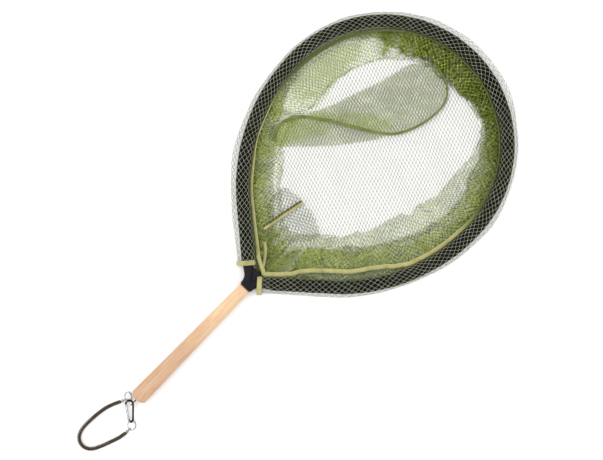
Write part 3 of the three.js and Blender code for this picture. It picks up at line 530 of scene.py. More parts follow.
def foam_material():
    m = Nodes("black_foam", 0.95, Specular_IOR_Level=0.08)
    wide = m.noise(m.place(), 30, 3)
    m.colour(m.ramp(wide, (0.3, (0.002, 0.002, 0.0022)), (0.7, (0.005, 0.005, 0.0055))))
    m.rough(wide, 0.8, 0.97)
    m.bump(m.cells(m.place(), 900), 0.35, 0.0004)
    return m.material


def rubber_material():
    m = Nodes("boot_rubber", 0.6, Specular_IOR_Level=0.15)
    wide = m.noise(m.place(), 45, 4)
    m.colour(m.ramp(wide, (0.3, srgb(15, 13, 17)), (0.7, srgb(23, 21, 26))))
    m.rough(wide, 0.52, 0.7)
    m.bump(m.noise(m.place(), 700, 2), 0.15, 0.0003)
    return m.material


def thread_material(name, dark, mid, pale, painted_shade_and_highlights=False, green=None, low=None):
    """Netting twine. A flag after the three colours adds painted shade below the upper layer and towards the
    hoop's tip, and painted shade and painted highlights in random dark and pale spots.
    green is its tint in gathers, which lie high, and towards the hoop's left side.
    low is its tint near the ground."""
    m = Nodes(name, 0.6, Specular_IOR_Level=0.25)
    place = m.place()
    fibres = m.noise(place, 1500, 2, 0.6)
    tone = m.ramp(m.noise(place, 38, 3, 0.6), (0.25, dark), (0.5, mid), (0.75, pale))
    tone = m.mix(m.ramp(fibres, (0.35, 0), (0.8, 0.4)), tone, pale)
    if painted_shade_and_highlights:
        # Painted shade on the lower layers.
        below = m.ramp(m.axis(place, 2, 75), (0.3, 0.4), (0.5, 0.8), (0.58, 0.8), (0.65, 0))
        tone = m.mix(below, tone, dark)
        # Painted shade towards the hoop's tip.
        tip = m.math("SUBTRACT", m.axis(place, 0), m.axis(place, 1, 0.35))
        tone = m.mix(m.ramp(tip, (0.48, 0), (0.6, 0.6)), tone, dark)
        # Painted shade and painted highlights, as random dark and pale spots.
        shade_and_highlight_spots = m.noise(place, 230, 2, 0.5)
        tone = m.mix(m.ramp(shade_and_highlight_spots, (0.36, 0.8), (0.48, 0)), tone, srgb(30, 42, 4))
        tone = m.mix(m.ramp(shade_and_highlight_spots, (0.52, 0), (0.64, 0.55)), tone, pale)
    if low:
        tone = m.mix(m.ramp(m.axis(place, 2, 50), (0.62, 0.9), (0.8, 0)), tone, low)
    if green:
        side = m.ramp(m.axis(place, 1), (0.085, 0), (0.125, 0.9))
        high = m.ramp(m.axis(place, 2, 100), (0.4, 0), (0.43, 0.9))
        tone = m.mix(m.math("MAXIMUM", side, high), tone, green)
    m.colour(tone)
    m.rough(fibres, 0.5, 0.75)
    m.bump(fibres, 0.5, 0.0002)
    return m.material


def tape_material(name, dark, mid, pale, far_end_shade=None):
    """Woven tape. Its last colour is a painted shade round the hoop's far end."""
    m = Nodes(name, 0.85, Specular_IOR_Level=0.2, Sheen_Weight=0.25)
    threads, place = m.place("UV"), m.place()
    weave = m.math("MULTIPLY", m.wave(threads, 420, "X"), m.wave(threads, 520, "Y"))
    patches = m.noise(place, 70, 4, 0.6)
    tone = m.ramp(patches, (0.25, dark), (0.5, mid), (0.78, pale))
    tone = m.mix(m.ramp(weave, (0.05, 0.55), (0.5, 0)), tone, dark)
    if far_end_shade:
        # Painted shade round the hoop's far end.
        far = m.math("ADD", m.axis(place, 0), m.axis(place, 1, 0.2))
        far = m.math("ADD", far, m.math("MULTIPLY", patches, 0.03))
        tone = m.mix(m.ramp(far, (0.39, 0), (0.44, 0.95)), tone, far_end_shade)
    m.colour(tone)
    m.rough(weave, 0.75, 0.95)
    m.bump(weave, 0.5, 0.0004)
    return m.material


def metal_material(name, low, high, roughness, metallic=1.0, specular=0.5):
    m = Nodes(name, roughness, metallic, Specular_IOR_Level=specular)
    fine = m.noise(m.place(scale=(1, 6, 1)), 1800, 3, 0.6)
    m.colour(m.ramp(m.noise(m.place(), 160, 4, 0.6), (0.3, low), (0.7, high)))
    m.rough(fine, roughness * 0.75, roughness * 1.35)
    m.bump(fine, 0.08, 0.0001)
    return m.material


def coil_material():
    m = Nodes("coil_plastic", 0.45, Specular_IOR_Level=0.25, Coat_Weight=0.05, Coat_Roughness=0.3)
    wide, fine = m.noise(m.place(), 120, 3), m.noise(m.place(), 1300, 2)
    m.colour(m.ramp(wide, (0.25, srgb(42, 33, 22)), (0.55, srgb(64, 52, 35)), (0.85, srgb(82, 70, 48))))
    m.rough(fine, 0.38, 0.58)
    m.bump(fine, 0.1, 0.0002)
    return m.material


wood, foam_black = wood_material(), foam_material()
rubber, coil_plastic = rubber_material(), coil_material()
sleeve_thread = thread_material(
    "sleeve_thread", srgb(150, 154, 122), srgb(180, 184, 152), srgb(206, 210, 184), low=srgb(86, 92, 30))
# The wall's twine has painted shade and painted highlights.
bag_thread = thread_material(
    "bag_thread", srgb(62, 82, 6), srgb(152, 172, 40), srgb(204, 212, 104), painted_shade_and_highlights=True)
floor_thread = thread_material("floor_thread", srgb(92, 98, 68), srgb(116, 122, 90), srgb(146, 150, 120))
flap_thread = thread_material(
    "flap_thread", srgb(96, 108, 42), srgb(120, 132, 60), srgb(150, 158, 90), green=srgb(146, 166, 12))
stitch_thread = thread_material("stitch_thread", srgb(84, 82, 44), srgb(104, 100, 56), srgb(130, 126, 76))
# Thread for the tab's stitches, dark also as painted shade between the tape's folds.
stitch_and_shade_thread = thread_material("stitch_and_shade_thread", srgb(36, 38, 20), srgb(50, 50, 28), srgb(72, 70, 42))
# The binding tape's last colour is its painted shade round the hoop's far end.
tape = tape_material(
    "binding_tape", srgb(132, 128, 78), srgb(176, 172, 114), srgb(194, 190, 138), srgb(68, 84, 22))
seam_tape = tape_material("seam_tape", srgb(84, 92, 40), srgb(112, 120, 56), srgb(138, 144, 78))
black_metal = metal_material("black_metal", (0.002, 0.002, 0.003), (0.006, 0.006, 0.007), 0.4, 0.0, 0.08)
bright_metal = metal_material("bright_metal", srgb(146, 147, 149), srgb(186, 187, 189), 0.26)
dull_metal = metal_material("dull_metal", srgb(122, 122, 122), srgb(160, 160, 158), 0.42)
bronze = metal_material("bronze", srgb(72, 54, 38), srgb(108, 84, 58), 0.36)


# Carabiner, rings and lanyard

EYE_RADIUS, EYE_WIRE, EYE_STAND_OFF = 4.0, 1.6, 3.0
SHANK_DIAMETER, SHANK_LENGTH, SHANK_PITCH = 2.6, 16.0, 0.55
BAR = 3.0
WIDE_RADIUS, NARROW_RADIUS = 6.1, 3.7
CLIP_REACH, NARROW_SHIFT = 24.0, 2.3
CLIP_YAW, CLIP_ROLL = math.radians(-36), math.radians(-20)
EYE_CROSSING = math.radians(8)
SEAT_DROP = 0.8
GATE_DIAMETER, TANG_THICK, TANG_TURN, PIVOT_DIAMETER = 3.4, 1.1, math.radians(72), 1.1
RING_RADIUS, RING_WIRE, RING_TURN_GAP, RING_PLAY = 7.8, 1.0, 0.45, 0.6
RING_STEP = math.radians(35)
LOWER_LEAN, UPPER_LEAN = math.radians(66), math.radians(75)
LOWER_END, UPPER_END, STEM_DIP = math.radians(45), math.radians(112), math.radians(8)
END_EYE_RADIUS, END_EYE_WIRE, END_CAP, END_CAP_DIAMETER = 2.5, 1.3, 4.0, 5.2
CORD, COIL = 1.8, 6.2
GAP = 0.3
COIL_CURLS, CURL_STEPS = 86, 24

eye_centre = Vector((-(EYE_STAND_OFF + EYE_WIRE / 2 + EYE_RADIUS), 0, HANDLE_THICK / 2))
wide = Vector((0, 0))
narrow = Vector((-NARROW_SHIFT, -CLIP_REACH))
clip_line = narrow - wide
heading = math.atan2(clip_line.y, clip_line.x)
opening = math.acos((WIDE_RADIUS - NARROW_RADIUS) / clip_line.length)
spine_turn, gate_turn = heading + opening, heading - opening


def on_circle(centre, radius, turn):
    return Vector((centre.x + radius * math.cos(turn), centre.y + radius * math.sin(turn)))


crossing = on_circle(wide, WIDE_RADIUS, EYE_CROSSING)
ring_pitch = RING_WIRE + RING_TURN_GAP
ring_seat = BAR / 2 + RING_PLAY + RING_WIRE / 2
lower_centre = Vector((narrow.x, narrow.y - NARROW_RADIUS + ring_seat - RING_RADIUS, 0))
upper_centre = Vector((wide.x, wide.y + WIDE_RADIUS - ring_seat + RING_RADIUS, 0))
ring_drop = RING_RADIUS * math.sin(LOWER_LEAN + CLIP_ROLL) + (ring_pitch + RING_WIRE) / 2
roll_drop = (crossing.x - lower_centre.x) * math.sin(-CLIP_ROLL)
clip_pitch = math.asin((eye_centre.z - SEAT_DROP - ring_drop - roll_drop) / (crossing.y - lower_centre.y))

butt = Matrix.Scale(MM, 4) @ Matrix.Translation((-THROAT_X, 0, 0))
clip = butt @ Matrix.Translation((eye_centre.x, 0, eye_centre.z - SEAT_DROP))
clip = clip @ Matrix.Rotation(CLIP_YAW, 4, "Z") @ Matrix.Rotation(clip_pitch, 4, "X")
clip = clip @ Matrix.Rotation(CLIP_ROLL, 4, "Y") @ Matrix.Translation((-crossing.x, -crossing.y, 0))
to_side = Matrix.Rotation(math.pi / 2, 4, "X")

gate_top = on_circle(wide, WIDE_RADIUS, gate_turn)
gate_foot = on_circle(narrow, NARROW_RADIUS, gate_turn)
gate_along = (gate_top - gate_foot).normalized()
gate_length = (gate_top - gate_foot).length


def frame_of(x, y, z, place):
    """The matrix with these axes at a place."""
    m = Matrix.Identity(4)
    for column, axis in enumerate((x, y, z, place)):
        for row in range(3):
            m[row][column] = axis[row]
    return m


gate_frame = clip @ frame_of(
    (gate_along.y, -gate_along.x, 0), (*gate_along, 0), (0, 0, 1), (*gate_foot, 0))


def ring_frame(centre, lean):
    raised = Vector((-math.cos(lean), 0, math.sin(lean)))
    along = Vector((0, 1, 0))
    return raised, along, raised.cross(along), centre


def end_frame(ring, lean, angle, way):
    """Where an end of the lanyard hangs in its ring, its stem along +Y."""
    raised, along, square, centre = ring
    outward = along * way * math.cos(angle) + raised * math.sin(angle)
    tangent = along * -way * math.sin(angle) + raised * math.cos(angle)
    level = math.atan(math.sin(angle) * math.tan(lean + CLIP_ROLL)) + STEM_DIP
    down = square * (-1 if square.z > 0 else 1)
    stem = outward * math.cos(level) + down * math.sin(level)
    return clip @ frame_of(stem.cross(tangent), stem, tangent, centre + outward * RING_RADIUS)


lower_ring, upper_ring = ring_frame(lower_centre, LOWER_LEAN), ring_frame(upper_centre, UPPER_LEAN)
upper_end = end_frame(upper_ring, UPPER_LEAN, UPPER_END, 1)
lower_end = end_frame(lower_ring, LOWER_LEAN, LOWER_END, -1)


def split_ring(name, ring):
    """A wire wound twice round, with a step from one turn to the other."""
    turn = np.linspace(0, 4 * math.pi, 145)
    outward = circle(turn)
    points = outward * RING_RADIUS
    points[:, 2] = ring_pitch * (eased((turn - 2 * math.pi + RING_STEP) / (2 * RING_STEP)) - 0.5)
    radius = np.full(len(turn), RING_WIRE / 2 * 1.12)
    radius[[0, -1]] *= 0.55
    part = placed(bar(points, radius, 10, outward), clip @ frame_of(*ring))
    return stand_in(new_piece(name + "_wire", *part, "lanyard", bright_metal), name)


def lanyard_end(name, at, finish):
    """An eye and the grooved cap that holds the cord."""
    around = circle(round_turn(40))
    eye = bar(around * END_EYE_RADIUS, END_EYE_WIRE / 2, 12, around, closed=True)
    half, start, end = END_CAP_DIAMETER / 2, END_EYE_RADIUS - 0.4, END_EYE_RADIUS + END_CAP
    cap = revolved([
        (0.05, start), (0.7, start), (0.9, start + 0.6), (1.7, start + 1.5), (half - 0.25, start + 2.1),
        (half, start + 2.4), (half, end - 1.4), (half - 0.22, end - 1.25), (half - 0.22, end - 0.95),
        (half, end - 0.8), (half, end - 0.25), (half - 0.25, end), (0.05, end),
    ], 28)
    part = placed(gather([eye, cap]), at)
    return stand_in(new_piece(name + "_cap", *part, "lanyard", finish), name)


tip = END_EYE_RADIUS + END_CAP + GAP
lead = tip + CORD * 2
route = [
    *(upper_end @ Vector((0, reach, 0)) for reach in (tip, lead)),
    *(butt @ Vector(point) for point in LANYARD_ROUTE),
    *(lower_end @ Vector((0, reach, 0)) for reach in (lead, tip)),
]
axis_line = smooth_line(np.array(route), COIL_CURLS * CURL_STEPS)
first, second = steady_frames(axis_line)
turns = np.arange(len(axis_line)) / CURL_STEPS
helix_radius = eased(np.minimum(turns, turns[-1] - turns)) * (COIL - CORD) / 2 * MM
spin = 2 * math.pi * turns
outward = first * np.cos(spin)[:, None] + second * np.sin(spin)[:, None]
cord_line = axis_line + outward * helix_radius[:, None]
coil = new_piece("lanyard_coil_cord", *bar(cord_line, CORD / 2 * MM, 8, outward), "lanyard", coil_plastic)
stand_in(coil, "lanyard_coil")
fittings = [
    split_ring("split_ring_upper", upper_ring), split_ring("split_ring_lower", lower_ring),
    lanyard_end("lanyard_end_upper", upper_end, bright_metal),
    lanyard_end("lanyard_end_lower", lower_end, dull_metal),
]


def carabiner():
    """The bent bar, thinned to a flat tang where the gate straddles it."""
    def arc(centre, radius, start, end, steps):
        turn = np.linspace(start, end, steps)
        return np.stack([centre.x + radius * np.cos(turn), centre.y + radius * np.sin(turn)], -1)

    top = arc(wide, WIDE_RADIUS, gate_turn + 2 * math.pi, spine_turn, 60)
    foot = arc(narrow, NARROW_RADIUS, spine_turn, gate_turn, 44)
    flat = even_steps(np.concatenate([top, foot]), 160)
    points = np.concatenate([flat, np.zeros((len(flat), 1))], 1)
    run = distances(points)
    thin = eased((NARROW_RADIUS * TANG_TURN + 0.5 - (run[-1] - run)) / 0.9)[:, None]
    nose = np.sqrt(1 - (1 - np.clip(run / 0.8, 0, 1)) ** 2)[:, None] * 0.9 + 0.1
    half_up = BAR / 2 * (1 - thin) + TANG_THICK / 2 * thin

    def squared(wave):
        return np.sign(wave) * np.abs(wave) ** (1 - 0.55 * thin)

    turn = round_turn(20)[None]
    sideways = squared(np.cos(turn)) * BAR / 2 * nose
    upward = squared(np.sin(turn)) * half_up * nose
    ring = level_across(unit(headings(points)))[:, None] * sideways[..., None]
    ring = ring + np.array([0, 0, 1.0]) * upward[..., None]
    half, edge = TANG_THICK / 2, BAR / 2
    tang_end = revolved([
        (0.02, -half), (edge - 0.12, -half), (edge, -half + 0.12), (edge, half - 0.12), (edge - 0.12, half),
        (0.02, half)], 28)
    tang_end = placed(tang_end, Matrix.Translation((*gate_foot, 0)) @ to_side)
    return placed(gather([lofted(points[:, None] + ring), tang_end]), clip)


stand_in(new_piece("carabiner_bar", *carabiner(), "carabiner", black_metal), "carabiner_body")


def cut_box(piece, low, high, matrix):
    """Takes a box out of a piece."""
    corners = np.stack(np.meshgrid(*zip(low, high), indexing="ij"), -1).reshape(-1, 3)
    faces = np.array([[0, 1, 3, 2], [4, 6, 7, 5], [0, 4, 5, 1], [2, 3, 7, 6], [0, 2, 6, 4], [1, 5, 7, 3]])
    box = new_piece("cut_box", *placed((corners, [faces]), matrix), "gate", bright_metal, smooth=False)
    cut = piece.modifiers.new("cut", "BOOLEAN")
    cut.operation, cut.object, cut.solver = "DIFFERENCE", box, "EXACT"
    apply_modifiers(piece)
    bpy.data.objects.remove(box)


half_gate = GATE_DIAMETER / 2
gate_tip = gate_length - GAP
rod = revolved([
    (0.05, -half_gate), (half_gate - 0.5, -half_gate), (half_gate - 0.15, -half_gate + 0.15),
    (half_gate, -half_gate + 0.5), (half_gate, 4.2), (half_gate - 0.16, 4.35), (half_gate - 0.16, 4.65),
    (half_gate, 4.8), (half_gate, gate_tip - 0.6), (half_gate - 0.2, gate_tip - 0.2),
    (half_gate - 0.6, gate_tip), (0.05, gate_tip)], 32)
gate = new_piece("carabiner_gate_rod", *placed(rod, gate_frame), "gate", bright_metal)
slot_half = TANG_THICK / 2 + GAP
cut_box(gate, (-3, -half_gate - 1, -slot_half), (3, half_gate + GAP, slot_half), gate_frame)
gate.data.set_sharp_from_angle(angle=math.radians(35))
stand_in(gate, "carabiner_gate")

half_pin = PIVOT_DIAMETER / 2
rivet = revolved([
    (0.02, -half_gate - 0.1), (PIVOT_DIAMETER * 0.4, -half_gate - 0.1), (half_pin, -half_gate + 0.1),
    (half_pin, half_gate - 0.1), (PIVOT_DIAMETER * 0.4, half_gate + 0.1), (0.02, half_gate + 0.1)], 24)
pin = new_piece("gate_pivot_rivet", *placed(rivet, gate_frame @ to_side), "carabiner", dull_metal)
stand_in(pin, "gate_pivot_pin")
for name in ("gate_plunger", "gate_spring", "hoop_tube"):
    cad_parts[name].data.materials.clear()
    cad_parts[name].data.materials.append(bright_metal)


def screw_eye():
    """A wire bent nearly to a ring, running on into its shank."""
    around = np.linspace(math.radians(22), math.radians(352), 64)
    ring = np.stack([EYE_RADIUS * np.cos(around), np.zeros(64), EYE_RADIUS * np.sin(around)], -1)
    ring += np.array([eye_centre.x, 0, eye_centre.z])
    loop = bar(ring, EYE_WIRE / 2, 14, np.tile([0.0, 1.0, 0.0], (64, 1)))
    x = eye_centre.x + EYE_RADIUS - 0.7
    half = SHANK_DIAMETER / 2
    profile = [(0.05, x), (half * 0.5, x), (half * 0.72, x + 0.3), (half * 0.8, x + 1.0)]
    at = x + 1.4
    while at < SHANK_LENGTH - 1:
        profile += [(half * 0.72, at), (half, at + SHANK_PITCH * 0.4)]
        profile.append((half * 0.72, at + SHANK_PITCH * 0.8))
        at += SHANK_PITCH
    profile += [(half * 0.4, SHANK_LENGTH - 0.4), (0.05, SHANK_LENGTH)]
    lengthwise = Matrix.Translation((0, 0, eye_centre.z)) @ Matrix.Rotation(-math.pi / 2, 4, "Z")
    shank = placed(revolved(profile, 20), lengthwise)
    return placed(gather([loop, shank]), butt)


stand_in(new_piece("butt_eye_screw", *screw_eye(), "net", bronze), "butt_eye")


# Handle

def handle_ring(x, width, bottom, top, radius, steps=9):
    """A section with rounded corners."""
    middle, half_width, half_height = (top + bottom) / 2, width / 2 - radius, (top - bottom) / 2 - radius
    made = []
    for side_y, side_z, start in ((1, 1, 0), (-1, 1, 90), (-1, -1, 180), (1, -1, 270)):
        turn = np.radians(np.linspace(start, start + 90, steps))
        made.append(np.stack([
            np.full(steps, x), side_y * half_width + radius * np.cos(turn),
            middle + side_z * half_height + radius * np.sin(turn)], -1))
    return np.concatenate(made)


def handle_loft():
    half = HANDLE_BUTT / 2
    butt_radius = (half ** 2 + BUTT_DEPTH ** 2) / (2 * BUTT_DEPTH)

    def taper(x):
        return HANDLE_FRONT + (HANDLE_BUTT - HANDLE_FRONT) * -x / (HANDLE_LENGTH - BUTT_DEPTH)

    rings = []
    for x, trim in ((0, 0.7), (-0.2, 0.3), (-0.7, 0.0)):
        rings.append(handle_ring(x, taper(x) - 2 * trim, trim, HANDLE_THICK - trim, HANDLE_EDGE))
    for x in np.linspace(-6, -(HANDLE_LENGTH - BUTT_DEPTH - 6), 40):
        rings.append(handle_ring(x, taper(x), 0, HANDLE_THICK, HANDLE_EDGE))
    for share in np.linspace(0, 1, 20):
        reach = half * math.cos(math.radians(80) * share)
        x = butt_radius - math.sqrt(butt_radius ** 2 - reach ** 2) - HANDLE_LENGTH
        ease = BUTT_EASE * (1 - reach / half)
        radius = min(HANDLE_EDGE * (0.35 + 0.65 * reach / half), reach * 0.98)
        rings.append(handle_ring(x, 2 * reach, ease, HANDLE_THICK - ease, radius))
    return lofted((np.array(rings) + np.array([THROAT_X, 0, 0])) * MM)


stand_in(new_piece("handle_wood", *handle_loft(), "net", wood), "handle")


# Foam float and rubber boot

def hoop_tube(s, section, facing=None):
    """Points around the hoop at stations s from sections (n, k, 2) of outward and height, in metres.
    Outward is as at the station facing all along, if given."""
    at, out = hoop(s)
    if facing is not None:
        out = np.broadcast_to(hoop(facing)[1], out.shape)
    flat = at[:, None] + out[:, None] * section[..., :1]
    return np.concatenate([flat, section[..., 1:]], -1) * MM


def foam_loft():
    s = np.linspace(-FOAM_END, FOAM_END, 420)
    turn = round_turn(32)
    radius = FOAM_RADIUS + 0.18 * ripple2(s[:, None], turn[None] * 10, 5, 60, 14)
    end = np.minimum(1, (FOAM_END - np.abs(s)) / 2.0)
    radius = radius - 1.2 * (1 - np.sqrt(1 - (1 - end) ** 2))[:, None]
    return lofted(hoop_tube(s, np.stack([radius * np.cos(turn), AXIS_Z + radius * np.sin(turn)], -1)))


foam = new_piece("foam_float_tube", *foam_loft(), "net", foam_black)
stand_in(foam, "foam_float")


def rounded_boot():
    """The boot's own shape with its facets rounded off."""
    piece = bpy.data.objects.new("throat_boot_rubber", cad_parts["throat_boot"].data.copy())
    bpy.context.scene.collection.objects.link(piece)
    piece.data.materials.clear()
    piece.data.materials.append(rubber)
    remesh = piece.modifiers.new("remesh", "REMESH")
    remesh.mode, remesh.voxel_size = "VOXEL", BOOT_VOXEL
    relax = piece.modifiers.new("relax", "SMOOTH")
    relax.factor, relax.iterations = 0.5, BOOT_ROUNDS
    apply_modifiers(piece)
    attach(piece, "net")
    return piece


stand_in(rounded_boot(), "throat_boot")


def boot_shade_web():
    """A dark rubber web between the boot's two legs. It is partly painted shade, a dark sheet over the
    fork's shaded gap.
    """
    rows, columns = 10, 15
    s = np.linspace(HANDLE_START - 36, HANDLE_START - 9, rows)
    left, right = hoop(s)[0][:, None], hoop(-s)[0][:, None]
    t = np.linspace(0, 1, columns)[None, :, None]
    belly = 4 * t[..., 0] * (1 - t[..., 0]) * np.linspace(1, 0, rows)[:, None]
    flat = left * (1 - t) + right * t
    flat[..., 0] += 3 * belly
    top = np.concatenate([flat, (AXIS_Z + 4 - belly)[..., None]], -1)
    bottom = np.concatenate([flat, (AXIS_Z - 4 + belly)[..., None]], -1)
    return lofted(np.concatenate([top, bottom[:, ::-1]], 1) * MM)


# Partly painted shade: a dark sheet over the fork's shaded gap.
new_piece("throat_boot_shade_web", *boot_shade_web(), "net", rubber)


# Netting, thread by thread

LEFT_END, RIGHT_END = rim(SLEEVE_LEFT), rim(-SLEEVE_RIGHT)
THROAT_GAP = float(np.linalg.norm(LEFT_END - RIGHT_END))
LOOP = SLEEVE_LEFT + SLEEVE_RIGHT + THROAT_GAP


def rim_loop(s):
    """The rim and the way in from it, closed: past the sleeve's left end it crosses to the right end."""
    s = (np.asarray(s, float) + SLEEVE_RIGHT) % LOOP - SLEEVE_RIGHT
    at = rim(np.minimum(s, SLEEVE_LEFT))
    at = at + (RIGHT_END - at) * np.clip((s - SLEEVE_LEFT) / THROAT_GAP, 0, 1)[..., None]
    return at, unit(BAG_CENTRE - at)


def loop_stations(count):
    return np.linspace(-SLEEVE_RIGHT, SLEEVE_LEFT + THROAT_GAP, count + 1)[:-1]


def throat_ease(s, reach):
    """1 along the hoop, falling to 0 where the rim's loop closes at the throat."""
    return eased(np.minimum(np.asarray(s, float) + SLEEVE_RIGHT, SLEEVE_LEFT + THROAT_GAP - s) / reach)


def hem_inset(s):
    """How far the hem tape's outer edge lies inside the rim."""
    return np.clip(keyed(s, HEM_LIE) + 0.5 * ripple(s, 11, 220, 70) * throat_ease(s, 60), 0.3, None)


def hem_height(s):
    return HEM_HEIGHT - 0.1 * hem_inset(s) + 0.5 * ripple(s, 61, 120, 40) * throat_ease(s, 60)


def sections(profile):
    """Sections (n, k, 2) from k points, each of two numbers for all n stations."""
    return np.stack([np.stack(np.broadcast_arrays(e, z), -1) for e, z in profile], 1)


def normals_of(surface, wrap=False):
    down = np.gradient(surface, axis=0)
    if wrap:
        across = np.roll(surface, -1, 1) - np.roll(surface, 1, 1)
    else:
        across = np.gradient(surface, axis=1)
    made = np.cross(down, across)
    return made / np.maximum(np.linalg.norm(made, axis=-1, keepdims=True), 1e-9)


def netting(name, runs, radius, sides, material, node):
    """Tubes along runs of (points, normals) in mm, with the share of radius at each point, if given."""
    parts = []
    for points, normals, *swell in runs:
        if len(points) > 1:
            share = np.array(swell[0] if swell else 1.0)
            parts.append(bar(points * MM, share * radius * MM, sides, normals))
    stand_in(new_piece(name, *gather(parts), "net", material), node)


def sleeve_surface(samples):
    """The loose sleeve, as a grid of points along the hoop and round it.
    samples is the number of points from thread to thread."""
    rows = int((SLEEVE_LEFT + SLEEVE_RIGHT) / (SLEEVE_STEP * samples)) * samples + 1
    s = np.linspace(-SLEEVE_RIGHT, SLEEVE_LEFT, rows)
    from_end = np.minimum(s + SLEEVE_RIGHT, SLEEVE_LEFT - s)
    slack = keyed(s, SLEEVE_SLACK) + 0.5 * ripple(s, 21, 160, 40)
    web = np.clip(hem_inset(s) - 0.8, 0, None) * np.clip(from_end / 30, 0, 1)
    r = FOAM_RADIUS + 0.8
    rise = 0.5 * ripple(s, 22, 120, 35)
    zero = np.zeros_like(s)
    points = sections([
        (-r - web - 0.5, hem_height(s) - 0.8),
        (-0.68 * r - 0.4 * web, AXIS_Z + 0.78 * r - 0.16 * web),
        (zero, AXIS_Z + r),
        (0.72 * r + 0.2 * slack, AXIS_Z + 0.72 * r),
        (r + 0.72 * slack, AXIS_Z - 1.5 + rise),
        (r + slack, 3.6 + 0.6 * rise),
        (0.62 * r + 0.55 * slack, 0.75),
        (zero, 0.62),
        (-0.76 * r - 0.3 * web, 3.2),
    ])
    around, fine = SLEEVE_AROUND, 4 * SLEEVE_AROUND
    section = outline_of(points, fine)
    drift = 0.06 * ripple(s, 23, 420, 150) + 0.008 * ripple(s, 24, 90, 40)
    k = (np.arange(around)[None] / around + drift[:, None]) % 1 * fine
    low = k.astype(int) % fine
    part = (k - k.astype(int))[..., None]
    row = np.arange(rows)[:, None]
    section = section[row, low] * (1 - part) + section[row, (low + 1) % fine] * part
    shift = 0.6 * ripple2(s[:, None], np.arange(around)[None] * 1.1, 25, 90, 30)
    shift = shift * np.clip(from_end / 20, 0, 1)[:, None]
    at, out = hoop(s[:, None] + shift)
    return np.concatenate([at + out * section[..., :1], section[..., 1:]], -1)


def diagonal_runs(surface, step):
    """Threads along both diagonals of a tube sampled as a grid, step points apart."""
    normals = normals_of(surface, True)
    rows, columns = surface.shape[:2]
    i = np.arange(rows)
    runs = []
    for way in (1, -1):
        for start in range(0, columns, step):
            k = (start + way * i) % columns
            runs.append((surface[i, k], normals[i, k]))
    return runs


sleeve_runs = diagonal_runs(sleeve_surface(SLEEVE_SAMPLES), SLEEVE_SAMPLES)
netting("net_sleeve_mesh", sleeve_runs, SLEEVE_THREAD, 4, sleeve_thread, "net_sleeve")


def wall_surface(step):
    """The bag's wall, let down in folds that run in and back: a grid of points step apart both ways,
    with which of them lie on the wall."""
    rows = 2 * round(LOOP / step / 2)
    s = np.arange(rows) * LOOP / rows - SLEEVE_RIGHT
    many, few, one, more = (keyed(s, WALL_LIE, k) for k in (1, 2, 3, 4))
    ease = throat_ease(s, 50)

    def wavy(k, amount):
        return amount * ease * ripple(s, 31 + k, 190, 45)

    many, few, one = many * (1 + wavy(1, 0.05)), few * (1 + wavy(2, 0.05)), one * (1 + wavy(3, 0.04))
    back = [wavy(4 + k, 0.4) - 1.5 for k in range(3)]
    extra = back[0] + 3 + (0.95 * many - back[0] - 3) * more
    deeper = back[1] + 3 + (0.9 * many - back[1] - 3) * np.clip(2.5 * more - 1.5, 0, 1)
    start = hem_inset(s) - 0.4
    lines = fine_line(sections([
        (start, hem_height(s) - 0.9),
        ((start + many) / 2, 10.3 + wavy(8, 0.6)),
        (many, 8.6 + wavy(9, 0.7)),
        (many - 2, 7.7 + wavy(9, 0.6)),
        (back[0], 7.3 + wavy(10, 0.3)),
        (back[0] + 1, 6.4 + wavy(10, 0.3)),
        (extra, 6.2 + wavy(11, 0.3)),
        (extra - 1.6, 5.6 + wavy(11, 0.3)),
        (back[1], 5.5 + wavy(12, 0.2)),
        (back[1] + 1, 5.0 + wavy(12, 0.2)),
        (deeper, 5.0 + wavy(16, 0.3)),
        (deeper - 1.6, 4.5 + wavy(16, 0.3)),
        (back[1], 4.5 + wavy(17, 0.2)),
        (back[1] + 1, 4.0 + wavy(17, 0.2)),
        (few, 3.9 + wavy(13, 0.4)),
        (few - 2, 3.2 + wavy(13, 0.3)),
        (back[2], 3.0 + wavy(14, 0.2)),
        (back[2] + 1, 2.3 + wavy(14, 0.2)),
        ((back[2] + one) / 2, 1.9 + wavy(15, 0.2)),
        (one, 1.2),
    ]))
    run = np.array([distances(line) for line in lines])
    at = np.arange(int(run[:, -1].max() / step) + 1) * step
    section = np.array([points_at(at, along, line) for along, line in zip(run, lines)])
    shift = 1.8 * ripple2(s[:, None], at[None], 51, 150, 50) + 0.9 * ripple(s, 52, 80, 40)[:, None]
    rim_at, inward = rim_loop(s[:, None] + shift * ease[:, None])
    flat = rim_at + inward * section[..., :1]
    surface = np.concatenate([flat, np.clip(section[..., 1:], LOWEST_THREAD, None)], -1)
    return surface, at[None] <= run[:, -1:]


def stretches(inside):
    """The beginnings and ends of the stretches that are inside."""
    edges = np.flatnonzero(np.diff(np.concatenate([[False], inside, [False]])))
    return zip(edges[::2], edges[1::2])


def loop_runs(surface, on, step):
    """Threads along both diagonals of a closed band of rows, where the points are on it, and its edge."""
    normals = normals_of(surface)
    rows, columns = surface.shape[:2]
    k = np.arange(columns)
    runs = []
    for way in (1, -1):
        for start in range(0, rows, step):
            i = (start + way * k) % rows
            for begin, end in stretches(on[i, k]):
                part = i[begin:end], k[begin:end]
                runs.append((surface[part], normals[part]))
    i = np.arange(rows + 1) % rows
    last = on.sum(1)[i] - 1
    runs.append((surface[i, last], normals[i, last]))
    return runs


wall_runs = loop_runs(*wall_surface(WALL_STEP), WALL_SAMPLES)
netting("bag_wall_mesh", wall_runs, WALL_THREAD, 3, bag_thread, "bag_wall")


def inside_of(points, outline):
    """Whether points (n, 2) lie inside a closed outline (m, 2)."""
    a, b = outline, np.roll(outline, -1, 0)
    x, y = points[:, :1], points[:, 1:]
    crosses = (a[:, 1] > y) != (b[:, 1] > y)
    rise = np.where(b[:, 1] == a[:, 1], 1e-9, b[:, 1] - a[:, 1])
    at = a[:, 0] + (b[:, 0] - a[:, 0]) * (y - a[:, 1]) / rise
    return (crosses & (x < at)).sum(1) % 2 == 1


